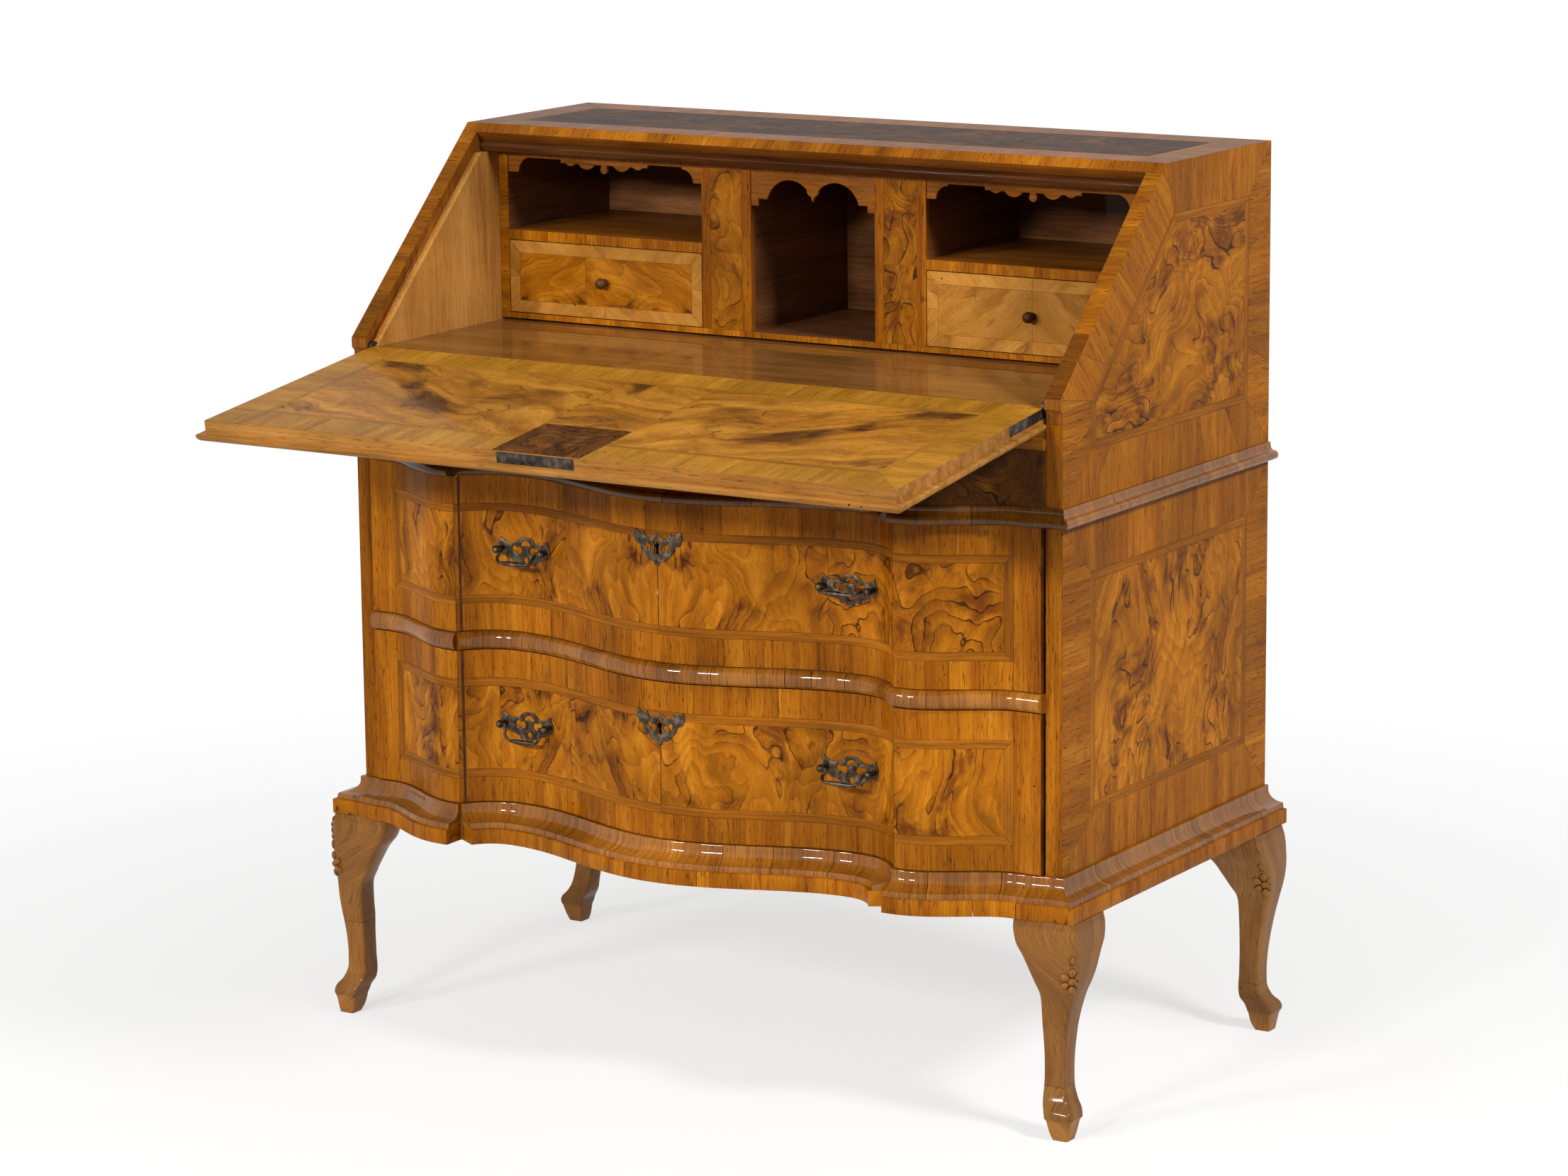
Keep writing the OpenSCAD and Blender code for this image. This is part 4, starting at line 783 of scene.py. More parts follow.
for a, b in zip(cuts, cuts[1:]):
    addLeaf(piece, slopeFace, rectangle(a, slant["wall"], b, slant["length"]), 1, grain=90,
            tone=chance.uniform(0.42, 0.5))
for side in (-1, 1):
    ends = sorted((side * 450, side * 470))
    cuts = cutsBetween(0, slant["wall"], 45, 90)
    for a, b in zip(cuts, cuts[1:]):  # darkened by hands, most of all at the foot
        tone = 0.22 if a == 0 else chance.uniform(0.34, 0.48)
        addLeaf(piece, slopeFace, rectangle(ends[0], a, ends[1], b), 1, grain=0, tone=tone)
makePiece("topVeneer", piece, [darkBurl, crossband, lineBand], "case")
print("top veneered")


# stiles and the curved panel under the fall
piece = newPiece()
for side in (-1, 1):
    ends = sorted((side * 450, side * 470))
    for z0, z1 in ((desk["baseTop"], desk["waistLow"]), (desk["waistTop"], desk["bedUnder"])):
        addLeaf(piece, stileFront, rectangle(ends[0], z0, ends[1], z1), 0, grain=90, tone=0.40 if side < 0 else 0.47)
makePiece("stileVeneer", piece, [crossband], "case")

piece = newPiece()
seams = [-447.5, -292, -150, 0, 150, 292, 447.5]
# the frieze's leaves get a very low tone: painted shade of the open fall above it
for i, (a, b) in enumerate(zip(seams, seams[1:])):
    addLeaf(piece, frontFace, rectangle(a, desk["waistTop"], b, desk["ledge"]), 0, grain=60, flip=i % 2 == 1,
            anchor=(b if i % 2 else a, 700), seed=0.77 + 0.1 * (i // 2), tone=0.125, step=3.0)
makePiece("friezeVeneer", piece, [burl], "case")


# profiles as (out, down) from the top of the moulding at the face it stands on
coveProfile = [(0, 0), (4.5, 0), (4.9, -0.8), *arc(-19, range(0, 91, 5), -13.5, 24, -5.5),
               (24.4, -20.5), (24.9, -23), (25, -25.4), (0, -25.4)]
fasciaProfile = [(0, -25.4), (25.2, -25.4), (26, -25.7), (28.4, -25.7), (28.9, -26.0), (29, -26.6),
                 (29, -42.2), (28.4, -43), (0, -43)]
waistProfile = [(0, 0), (2.6, 0), (3, -0.4), *arc(-4.7, range(0, 91, 10), -6.1, 8.2, -3.5),
                *arc(5.2, range(80, -91, -10), None, 8.2, -14.8), (0, -20)]
beadProfile = [(0, 10.4), *arc(8, range(84, -85, -7), 10.4), (0, -10.4)]


def outward(path, x):
    slopes = [(path(x) - path(x - 0.05)) / 0.05, (path(x + 0.05) - path(x)) / 0.05]
    left, right = [(k / math.hypot(k, 1), -1 / math.hypot(k, 1)) for k in slopes]
    share = 1 + left[0] * right[0] + left[1] * right[1]
    return ((left[0] + right[0]) / share, (left[1] + right[1]) / share)


def frontStations(low, high, step=3.5):
    turns = [s * k for k in (226, 228, 292, 300, 425, 447.5, 450) for s in (-1, 1)]
    marks = sorted({low, high} | {k for k in turns if low < k < high})
    stations = []
    for a, b in zip(marks, marks[1:]):
        parts = max(1, math.ceil((b - a) / step))
        stations += [a + (b - a) * k / parts for k in range(parts)]
    return stations + [high]


def lengthsAlong(profile):
    lengths = [0.0]
    for p, q in zip(profile, profile[1:]):
        lengths.append(lengths[-1] + math.dist(p, q))
    return lengths


def addFrontMoulding(piece, path, profile, top, cuts, half, slot=0, tones=(0.45, 0.56)):
    lengths = lengthsAlong(profile)
    for a, b in zip(cuts, cuts[1:]):
        a = a + 0.3 if a > -half else a
        b = b - 0.3 if b < half else b
        rings, maps = [], []
        for x in frontStations(a, b):
            if path is smoothY and abs(x) > half - 0.01:
                v = (math.copysign(1, x), -1)
            else:
                v = outward(path, x)
            ring = []
            for out, drop in profile:
                if out == 0:
                    ring.append(place(x, caseY(x) if path is smoothY else frontY(x), top + drop))
                else:
                    ring.append(place(x + out * v[0], path(x) + out * v[1], top + drop))
            rings.append(ring)
            maps.append([(k / 1000, run(x) / 1000) for k in lengths])
        addRings(piece, rings, maps, slot, (chance.uniform(*tones), chance.random()))


def addSideMoulding(piece, side, profile, top, cuts, slot=0, tones=(0.45, 0.56)):
    lengths = lengthsAlong(profile)
    for a, b in zip(cuts, cuts[1:]):
        rings, maps = [], []
        for y in (a + (0.3 if a > 0 else 0), b - (0.3 if b < desk["depth"] else 0)):
            rings.append([place(side * (470 + out), y - (out if y <= 0 else 0), top + drop) for out, drop in profile])
            maps.append([(k / 1000, y / 1000) for k in lengths])
        addRings(piece, rings, maps, slot, (chance.uniform(*tones), chance.random()))


frontCuts = {"cove": [-470, -410, -352, -292, -243, -150, -62, 8, 74, 128, 196, 292, 331, 402, 470],
             "fascia": [-470, -425, -368, -292, -214, -120, -30, 52, 118, 210, 292, 372, 430, 470],
             "waist": [-470, -380, -292, -200, -90, 14, 110, 205, 292, 372, 470]}
piece = newPiece()
addFrontMoulding(piece, smoothY, coveProfile, desk["baseTop"], frontCuts["cove"], 470, 0, (0.46, 0.62))
addFrontMoulding(piece, smoothY, fasciaProfile, desk["baseTop"], frontCuts["fascia"], 470, 1, (0.48, 0.56))
makePiece("baseMouldingFront", piece, [mouldWalnut, crossband], "case", ("base_moulding_front",), sharp=38)
piece = newPiece()
# the front waist moulding's low tones are painted shade of the open fall above it
addFrontMoulding(piece, smoothY, waistProfile, desk["waistTop"], frontCuts["waist"], 470, 0, (0.18, 0.25))
makePiece("waistMouldingFront", piece, [mouldWalnut], "case", ("waist_moulding_front",), sharp=38)
piece = newPiece()
for side in (-1, 1):
    addSideMoulding(piece, side, coveProfile, desk["baseTop"], cutsBetween(0, desk["depth"], 45, 80))
    addSideMoulding(piece, side, fasciaProfile, desk["baseTop"], cutsBetween(0, desk["depth"], 50, 90), 1)
    addSideMoulding(piece, side, waistProfile, desk["waistTop"], cutsBetween(0, desk["depth"], 60, 110))
makePiece("sideMouldings", piece, [mouldWalnut, crossband], "case", ("side_mouldings",), sharp=38)
piece = newPiece()
beadCuts = [-447.5, -292, -221, -118, -72, -14, 22, 64, 112, 142, 172, 212, 292, 330, 392, 447.5]
addFrontMoulding(piece, frontY, beadProfile, 481.65, beadCuts, 447.5, 0, (0.5, 0.6))
makePiece("drawerRailBead", piece, [mouldWalnut], "case", ("rail_bead",), sharp=38)
print("mouldings laid")


# height, half side, reach from the moulding's corner
legRows = [(0, 9.3, -4.8), (8, 11.8, -3.4), (18, 13.9, -1.6), (23.4, 15.2, 0.2), (24.6, 16.6, 1.6), (32, 16.6, 0),
           (42, 15.1, -7.6), (58, 13.1, -12.4), (74, 12.7, -12.6), (92, 13, -11.8), (110, 14, -10), (138, 16.4, -6),
           (162, 19.6, -1.4), (178, 25, 2), (190, 28.8, 3.8), (206, 33.5, 5), (220, 38, 4.6), (235, 39.2, 3.2),
           (246.5, 38, 0.5)]
# for each leg the side it stands on, whether it is a back one, the heights where it was glued again, and
# its lean: height, how far it stands off to the right and back there
legs = {
    "front_left": {"side": -1, "back": False, "glued": [113],
                   "lean": [(0, -7, 0), (120, -7, 0), (190, 0, 0), (247, 0, 0)]},
    "front_right": {"side": 1, "back": False, "glued": [58],
                    "lean": [(0, -4, 0), (120, -4, 0), (190, 0, 0), (247, 0, 0)]},
    "back_left": {"side": -1, "back": True, "glued": [],
                  "lean": [(0, -2, -7), (26, -4, -8), (50, 3, -5), (90, 9, -2), (140, 5, 0), (190, 0, 0),
                           (247, 0, 0)]},
    "back_right": {"side": 1, "back": True, "glued": [60], "lean": [(0, 0, 0), (247, 0, 0)]},
}
legLook = {
    "corner": 7, "round": 0.22, "swell": 0.3, "knee": 188, "out": 499, "front": -29, "back": 481.5,
    "widest": 502,
}


def eased(rows, z, column):
    # a smooth curve through the rows, without overshoot
    for k in range(len(rows) - 1):
        if rows[k][0] <= z <= rows[k + 1][0]:
            break
    z0, z1 = rows[k][0], rows[k + 1][0]
    chord = (rows[k + 1][column] - rows[k][column]) / (z1 - z0)

    def slopeAt(i):
        if i in (0, len(rows) - 1):
            return chord
        before = (rows[i][column] - rows[i - 1][column]) / (rows[i][0] - rows[i - 1][0])
        after = (rows[i + 1][column] - rows[i][column]) / (rows[i + 1][0] - rows[i][0])
        return 0.0 if before * after <= 0 else 2 * before * after / (before + after)

    t = (z - z0) / (z1 - z0)
    m0, m1 = slopeAt(k) * (z1 - z0), slopeAt(k + 1) * (z1 - z0)
    return ((2 * t ** 3 - 3 * t * t + 1) * rows[k][column] + (t ** 3 - 2 * t * t + t) * m0
            + (3 * t * t - 2 * t ** 3) * rows[k + 1][column] + (t ** 3 - t * t) * m1)


def cornerRadius(z):
    # rounder where the flower is carved
    near = max(0, math.cos(math.radians(min(90, abs(z - legLook["knee"]) * 2))))
    return eased(legRows, z, 1) * (legLook["round"] + legLook["swell"] * near)


def legRing(z, hollow):
    # the section's outline; on the front legs the corner under the case is cut away behind the ears
    half, reach = eased(legRows, z, 1), eased(legRows, z, 2)
    centre = reach - half
    ring = []
    for q in range(4):
        radius = legLook["round"] * half
        if q == 1 and hollow:
            radius += (1.5 * half - radius) * min(1, max(0, (z - 120) / 60))
        elif q == (3 if hollow else 0):
            radius = cornerRadius(z)
        m = math.radians(q * 90 + 45)
        for k in range(legLook["corner"]):
            a = math.radians(q * 90 + k * 90 / (legLook["corner"] - 1))
            ring.append((centre + (half - radius) * math.copysign(1, math.cos(m)) + radius * math.cos(a),
                         -centre + (half - radius) * math.copysign(1, math.sin(m)) + radius * math.sin(a)))
    return ring


def legWearAndShade(z):
    # the worn sole is pale; the hollow over the hoof and the leg's top just under the moulding are darkened as
    # painted shade
    return (0.62 if z < 22 else 0.44 if z < 50 else 0.5) * (0.86 if z > 238 else 1.0)


def legPoint(leg, x, y, z):
    # from the leg's own x outwards and y forwards, from the moulding's corner; no leg stands quite square
    aside, behind = eased(leg["lean"], z, 1), eased(leg["lean"], z, 2)
    across = leg["side"] * (legLook["out"] + x) + aside
    over = max(0, abs(across) - legLook["widest"])  # the knee swells no further than the base moulding
    deep = legLook["back"] - y if leg["back"] else legLook["front"] + y
    return place(across - math.copysign(0.4 * over, across), deep + behind, z)


def buildLeg(name, leg):
    piece = newPiece()
    marks = [0] + leg["glued"] + [desk["legs"]]
    for low, high in zip(marks, marks[1:]):
        seed = chance.random()
        tone = chance.uniform(0.96, 1.04)
        count = max(2, round((high - low) / 3))
        heights = [low + (high - low) * k / count for k in range(count + 1)]
        heights[0] += 0.2 if low else 0
        heights[-1] -= 0.2 if high < 246 else 0
        rings, maps, leaves = [], [], []
        for z in heights:
            ring = legRing(z, not leg["back"])
            rings.append([legPoint(leg, x, y, z) for x, y in ring])
            maps.append([(z / 1000, length / 1000) for length in lengthsAlong(ring)])
            leaves.append((legWearAndShade(z) * tone, seed))
        addRings(piece, rings, maps, 0, leaves)
    makePiece("leg_" + name + "_carved", piece, [wornWalnut], "case", ("leg_" + name,), sharp=34)


# a six-petalled flower with a bud over it, carved round the outward corner of each knee
# across, up, half width, half length, turn and height of each lump; one leg has a chain over its bud
petals = [(9 * math.sin(math.radians(t)), 10 * math.cos(math.radians(t)), 4.1, 5.6, t, 4.4)
          for t in range(0, 360, 60)]
flower = petals + [(0, 0, 4.4, 4.4, 0, 5.2), (0, 24, 3.8, 6, 0, 2.9)]
chain = [(0, 34, 2.7, 4.0, 0, 2.4), (0, 41.5, 2.6, 3.8, 0, 2.4), (0, 48.5, 2.5, 3.6, 0, 2.4),
         (0, 55.5, 2.4, 3.4, 0, 2.4)]
carving = {
    "middle": 184, "half": 15, "low": -17, "high": 31, "chainHigh": 59, "across": 44, "row": 0.7,
    "ground": -0.7, "under": -1.4,
}


def cornerPoint(z, u, lift):
    # round the outward corner of the section: u is the length from the corner
    half, reach = eased(legRows, z, 1), eased(legRows, z, 2)
    radius = cornerRadius(z)
    flat = half - radius
    centre = reach - half
    turn = max(-math.pi / 4, min(math.pi / 4, u / radius))
    beyond = abs(u) - radius * math.pi / 4
    x = centre + flat + (radius + lift) * math.cos(turn - math.pi / 4)
    y = -centre - flat + (radius + lift) * math.sin(turn - math.pi / 4)
    if beyond > 0:
        return (x - beyond, y) if u < 0 else (x, y + beyond)
    return x, y


def carvedHeight(u, v, parts):
    best = carving["ground"]
    for cu, cv, wide, long, t, tall in parts:
        cos, sin = math.cos(math.radians(t)), math.sin(math.radians(t))
        a, b = ((u - cu) * cos - (v - cv) * sin) / wide, ((u - cu) * sin + (v - cv) * cos) / long
        square = a * a + b * b
        if square < 1:
            best = max(best, tall * (1 - square) ** 0.42 + carving["ground"])
    return best


def carveFlower(name, leg, parts, high):
    piece = newPiece()
    count, low = carving["across"], carving["low"]
    rows = round((high - low) / carving["row"])
    rings, maps, leaves = [], [], []
    for j in range(rows + 1):
        v = low + (high - low) * j / rows
        z = carving["middle"] + v
        top, under, grain, tones = [], [], [], []
        for i in range(count + 1):
            u = -carving["half"] + 2 * carving["half"] * i / count
            edge = i in (0, count) or j in (0, rows)
            for target, lift in ((top, carving["ground"] if edge else carvedHeight(u, v, parts)),
                                 (under, carving["under"])):
                x, y = cornerPoint(z, u, lift)
                if leg["back"]:  # on a back leg it is carved on the corner that faces the front
                    y = 2 * (eased(legRows, z, 1) - eased(legRows, z, 2)) - y
                target.append(legPoint(leg, x, y, z))
                # painted shade and light: the carving's ground is darkened and its raised lumps lightened by their
                # height
                tones.append((0.14 if lift < 0.3 else 0.34 if lift < 1.6 else 0.58, 0.4))
            grain.append((z / 1000, u / 1000))
        rings.append(top + under[::-1])
        maps.append(grain + grain[::-1])
        leaves += tones[::2] + tones[1::2][::-1]
    addRings(piece, rings, maps, 0)
    piece["leaf"] = leaves
    makePiece("flower_" + name, piece, [wornWalnut], "case", sharp=50)


for name, leg in legs.items():
    chained = name == "front_left"
    buildLeg(name, leg)
    carveFlower(name, leg, flower + (chain if chained else []), carving["chainHigh" if chained else "high"])
print("legs carved")


# the fall
fallLook = {"rim": (-446.6, 1, 446.6, 315.0), "frame": (-400.6, 42, 400.6, 268), "line": 7, "block": (-56, 58),
            "blockDeep": 213, "outerRim": (-434, 18, 434, 302), "outerBorder": 44, "columns": (-190, 0, 190)}
thin = fall["veneer"]
piece = newPiece()
rim, frame1 = rectangle(*fallLook["rim"]), rectangle(*fallLook["frame"])
frame2 = insetOutline(frame1, fallLook["line"])
bx0, bx1 = fallLook["block"]
for i, k in ((0, 1), (1, 2), (2, 3), (3, 0)):
    a, b = frame1[i], frame1[k]
    spans = [(0, 1)]
    if i == 2:  # the dark block interrupts the border
        spans = [(0, (a[0] - bx1) / (a[0] - b[0])), ((a[0] - bx0) / (a[0] - b[0]), 1)]
    for low, high in spans:
        corners = [between(a, b, low), between(a, b, high), between(frame2[i], frame2[k], high),
                   between(frame2[i], frame2[k], low)]
        addLeaf(piece, fallInside, corners, 2, grain=lie(a, b), thick=thin, tone=0.44)
        marks = joints(low, high, max(2, round(math.dist(a, b) * (high - low) / 80)), 0.25)
        addStrip(piece, fallInside, (a, b), (rim[i], rim[k]), marks, lie(a, b) + 90, (0.47, 0.56), square=True,
                 thick=thin)
(x0, z0), (x1, z1) = frame2[0], frame2[2]
deep = fallLook["blockDeep"]
for a, b, flip in ((x0, bx0, False), (bx1, x1, True)):
    addLeaf(piece, fallInside, rectangle(a, z0, b, z1), 0, grain=25, flip=flip, anchor=(b if flip else a, z0),
            seed=0.11, tone=0.5, thick=thin)
addLeaf(piece, fallInside, rectangle(bx0, z0, bx1, deep), 0, grain=25, seed=0.41, tone=0.5, thick=thin)
addLeaf(piece, fallInside, rectangle(bx0, deep, bx1, rim[2][1]), 3, grain=90, seed=0.9, tone=0.66, thick=thin)
makePiece("fallInsideVeneer", piece, [goldFigure, goldBand, goldBand, darkBurl], "fall")

piece = newPiece()
rim = rectangle(*fallLook["outerRim"])
frame1 = insetOutline(rim, fallLook["outerBorder"])
frame2 = insetOutline(frame1, fallLook["line"])
for i, k in ((0, 1), (1, 2), (2, 3), (3, 0)):
    a, b = frame1[i], frame1[k]
    addLeaf(piece, fallOutside, [a, b, frame2[k], frame2[i]], 2, grain=lie(a, b), thick=thin)
    parts = max(2, round(math.dist(a, b) / 80))
    marks = [n / parts for n in range(parts + 1)]
    addStrip(piece, fallOutside, (a, b), (rim[i], rim[k]), marks, lie(a, b) + 90, thick=thin)
columns = [frame2[0][0], *fallLook["columns"], frame2[1][0]]
for i, (a, b) in enumerate(zip(columns, columns[1:])):
    addLeaf(piece, fallOutside, rectangle(a, frame2[0][1], b, frame2[2][1]), 0, grain=90, flip=i % 2 == 1,
            anchor=(b if i % 2 else a, 60), seed=0.5 + 0.2 * (i // 2), tone=0.5, thick=thin)
makePiece("fallOutsideVeneer", piece, [burl, crossband, lineBand], "fall")
print("fall veneered")


# fittings: faces of the frame, pilasters and small drawers
fit = {"y": 256, "half": 440.7, "bayOut": 428, "bayIn": 152, "low": 807, "floor": 814, "shelf": 902, "shelfTop": 914,
       "top": 1003.1, "topEnd": 1015.1, "uprights": (84, 96, 140, 152), "bandCuts": (814, 858, 908, 960, 1003.1)}
fitFace = (lambda u, v, d: place(u, fit["y"] - d, v), same)
piece = newPiece()
addBand(piece, fitFace, 0, fit["low"], fit["floor"], cutsBetween(-fit["half"], fit["half"], 35, 110))
# the top band's raised tone is painted light on a strip that lies in shade under the top
addBand(piece, fitFace, 0, fit["top"], fit["topEnd"], cutsBetween(-fit["half"], fit["half"], 35, 110), tone=0.54)
for side in (-1, 1):
    ends = sorted((side * fit["bayOut"], side * fit["half"]))
    addBand(piece, fitFace, 0, *ends, fit["bandCuts"], upright=False)
    ends = sorted((side * fit["bayIn"], side * fit["bayOut"]))
    addBand(piece, fitFace, 0, fit["shelf"], fit["shelfTop"], cutsBetween(*ends, 30, 80))
    for k, (a, b) in enumerate(zip(fit["uprights"], fit["uprights"][1:])):
        ends = sorted((side * a, side * b))
        if k == 1:  # the burl of the pilasters, in two leaves
            for low, high in ((fit["floor"], 905), (905, fit["top"])):
                addLeaf(piece, fitFace, rectangle(ends[0], low, ends[1], high), 1, grain=90, tone=0.38,
                        seed=0.3 + low / 4000 + side * 0.1)
        else:
            addLeaf(piece, fitFace, rectangle(ends[0], fit["floor"], ends[1], fit["top"]), 0, grain=90, tone=0.5)
makePiece("fittingsFaces", piece, [crossband, burl], "case")

smallDrawers = {
    "left": {"side": -1, "middle": -318, "seed": 0.17, "tone": 0.46, "figure": burl},
    "right": {"side": 1, "middle": 290, "seed": 0.58, "tone": 0.5, "figure": plainFigure},
}
for label, look in smallDrawers.items():
    piece = newPiece()
    ends = sorted((look["side"] * 152.8, look["side"] * 427.2))
    rim = rectangle(ends[0], 814.8, ends[1], 901.2)
    field = insetOutline(rim, 14.5)
    for i, k in ((0, 1), (1, 2), (2, 3), (3, 0)):
        # feather banding: the grain leans both ways from the middle of each side
        for s, e, lean in ((0, 0.5, 45), (0.5, 1, -45)):
            addStrip(piece, fitFace, (field[i], field[k]), (rim[i], rim[k]), [s, e],
                     lie(field[i], field[k]) + lean, tone=0.55)
    (x0, z0), (x1, z1) = field[0], field[2]
    for k, (a, b) in enumerate(((x0, look["middle"]), (look["middle"], x1))):
        addLeaf(piece, fitFace, rectangle(a, z0, b, z1), 0, grain=35, flip=k == 1, anchor=(b if k else a, 820),
                seed=look["seed"], tone=look["tone"])
    makePiece(label + "SmallDrawerVeneer", piece, [look["figure"], plainFigure], "small_" + label)

# turned knobs: collar, neck and a domed head
knobLook = {"at": (290, 256, 858), "turns": 40,
            "profile": [(4.6, 0), (4.8, 0.6), (4.3, 1.5), (3.0, 2.4), (2.7, 3.6), (3.2, 4.6), (5.2, 5.8), (6.3, 7.6),
                        (6.6, 9.8), (6.2, 12.2), (5.2, 14.3), (3.6, 15.8), (1.8, 16.45), (0.9, 16.55), (0.6, 16.2),
                        (0.02, 16.1)]}
turns = knobLook["turns"]
for label, side in (("left", -1), ("right", 1)):
    piece = newPiece()
    x, y, z = knobLook["at"]
    rings, maps = [], []
    for radius, out in [(2.5, -12)] + knobLook["profile"]:
        ring = arc(radius, [360 * k / turns for k in range(turns)])
        rings.append([place(side * x + a, y - out, z + b) for a, b in ring])
        maps.append([(k / turns * 0.04, out / 1000) for k in range(turns)])
    addRings(piece, rings, maps, 0, (0.46, 0.3 + side * 0.1))
    makePiece(label + "TurnedKnob", piece, [darkWalnut["x"]], "small_" + label, ("small_knob_" + label,),
              merge=1e-7)
print("fittings veneered")


# softened edges on the small parts
def softCopy(name, width, material, body):
    # a merged copy of the frame's node with its arrises worn round, in its place
    thing = bpy.data.objects.new(name + "_worn", nodes[name].data.copy())
    thing.data.transform(nodes[name].matrix_world)
    thing.data.materials.clear()
    thing.data.materials.append(material)
    shape = bmesh.new()
    shape.from_mesh(thing.data)
    bmesh.ops.remove_doubles(shape, verts=shape.verts, dist=2e-6)
    bmesh.ops.dissolve_limit(shape, angle_limit=math.radians(0.4), verts=shape.verts, edges=shape.edges)
    for face in shape.faces:
        face.smooth = True
        face.material_index = 0
    shape.to_mesh(thing.data)
    shape.free()
    bpy.context.collection.objects.link(thing)
    worn = thing.modifiers.new("worn", "BEVEL")
    worn.width, worn.segments, worn.limit_method, worn.angle_limit = width / 1000, 2, "ANGLE", math.radians(35)
    worn.miter_outer = "MITER_ARC"
    settle(thing)
    thing.data.set_sharp_from_angle(angle=math.radians(40))
    finishObject(thing, body, (name,))


for name, width, material, body, slot in (
        ("upper_plates", 0.28, bronze, "upper_drawer", "bronze"),
        ("lower_plates", 0.28, bronze, "lower_drawer", "bronze"),
        ("fall_lipping", 1.1, edgeWalnut, "fall", "dark_walnut"),
        ("fall_escutcheon", 0.25, bronze, "fall", "bronze"),
        ("bay_valances", 0.5, solidWalnut["x"], "case", "walnut"),
        ("arch_valance", 0.5, solidWalnut["x"], "case", "walnut"),
        ("frieze_ledge", 0.8, solidWalnut["x"], "case", "walnut"),
        ("top_rail", 0.8, darkWalnut["x"], "case", "dark_walnut"),
        ("fittings_shelves", 0.5, solidWalnut["x"], "case", "walnut")):
    softCopy(name, width, material, body)
print("edges softened")


# pins and nails
def pinTree():
    # domed heads set on the points of a mesh, each turned to face outwards
    tree = bpy.data.node_groups.new("domedPins", "GeometryNodeTree")
    side = tree.interface
    side.new_socket("Geometry", in_out="INPUT", socket_type="NodeSocketGeometry")
    for label, kind in (("Head Radius", "NodeSocketFloat"), ("Head Height", "NodeSocketFloat"),
                        ("Unevenness", "NodeSocketFloat"), ("Seed", "NodeSocketInt"),
                        ("Metal", "NodeSocketMaterial")):
        side.new_socket(label, in_out="INPUT", socket_type=kind)
    side.new_socket("Geometry", in_out="OUTPUT", socket_type="NodeSocketGeometry")
    given = addNode(tree, "NodeGroupInput")
    head = addNode(tree, "GeometryNodeMeshUVSphere", {"Segments": 16, "Rings": 10, "Radius": 1.0})
    size = addNode(tree, "ShaderNodeCombineXYZ", None,
                   {"X": given.outputs["Head Radius"], "Y": given.outputs["Head Radius"],
                    "Z": given.outputs["Head Height"]})
    dome = addNode(tree, "GeometryNodeTransform", None,
                   {"Geometry": head.outputs["Mesh"], "Scale": size.outputs["Vector"]})
    facing = addNode(tree, "GeometryNodeInputNamedAttribute", {"data_type": "FLOAT_VECTOR", "Name": "facing"})
    turned = addNode(tree, "FunctionNodeAlignRotationToVector", {"axis": "Z"},
                     {"Vector": facing.outputs["Attribute"]})
    least = addNode(tree, "ShaderNodeMath", {"operation": "SUBTRACT", 0: 1.0},
                    {1: given.outputs["Unevenness"]})
    most = addNode(tree, "ShaderNodeMath", {"operation": "ADD", 0: 1.0}, {1: given.outputs["Unevenness"]})
    uneven = addNode(tree, "FunctionNodeRandomValue", {"data_type": "FLOAT"},
                     {2: least.outputs[0], 3: most.outputs[0], "Seed": given.outputs["Seed"]})
    placed = addNode(tree, "GeometryNodeInstanceOnPoints", None,
                     {"Points": given.outputs["Geometry"], "Instance": dome.outputs["Geometry"],
                      "Rotation": turned.outputs["Rotation"], "Scale": uneven.outputs[1]})
    real = addNode(tree, "GeometryNodeRealizeInstances", None, {"Geometry": placed.outputs["Instances"]})
    smooth = addNode(tree, "GeometryNodeSetShadeSmooth", None, {"Geometry": real.outputs["Geometry"]})
    metal = addNode(tree, "GeometryNodeSetMaterial", None,
                    {"Geometry": smooth.outputs["Geometry"], "Material": given.outputs["Metal"]})
    addNode(tree, "NodeGroupOutput", None, {"Geometry": metal.outputs["Geometry"]})
    return tree


pins = pinTree()


def setPins(name, sites, look, metal, body):
    mesh = bpy.data.meshes.new(name)
    mesh.from_pydata([point for point, _ in sites], [], [])
    facing = mesh.attributes.new("facing", "FLOAT_VECTOR", "POINT")
    facing.data.foreach_set("vector", [value for _, way in sites for value in way])
    thing = bpy.data.objects.new(name, mesh)
    bpy.context.collection.objects.link(thing)
    grown = thing.modifiers.new("pins", "NODES")
    grown.node_group = pins
    wanted = {"Head Radius": look["radius"] / 1000, "Head Height": look["height"] / 1000,
              "Unevenness": look["uneven"], "Seed": look["seed"], "Metal": metal}
    for item in pins.interface.items_tree:
        if item.in_out == "INPUT" and item.name in wanted:
            grown[item.identifier] = wanted[item.name]
    settle(thing)
    finishObject(thing, body)


# brass pins at the lobes of the key plates
platePins = {"radius": 1.7, "height": 1.3, "uneven": 0.06, "seed": 4}
for label in ("upper", "lower"):
    sites = []
    for x, z in ((-25.5, 7.5), (25.5, 7.5), (0, -18.2)):
        v = outward(frontY, x)
        sites.append((place(x, frontY(x) - 1.6, drawers[label]["key"] + z - 2), (v[0], v[1], 0)))
    setPins(label + "PlatePins", sites, platePins, bronze, label + "_drawer")
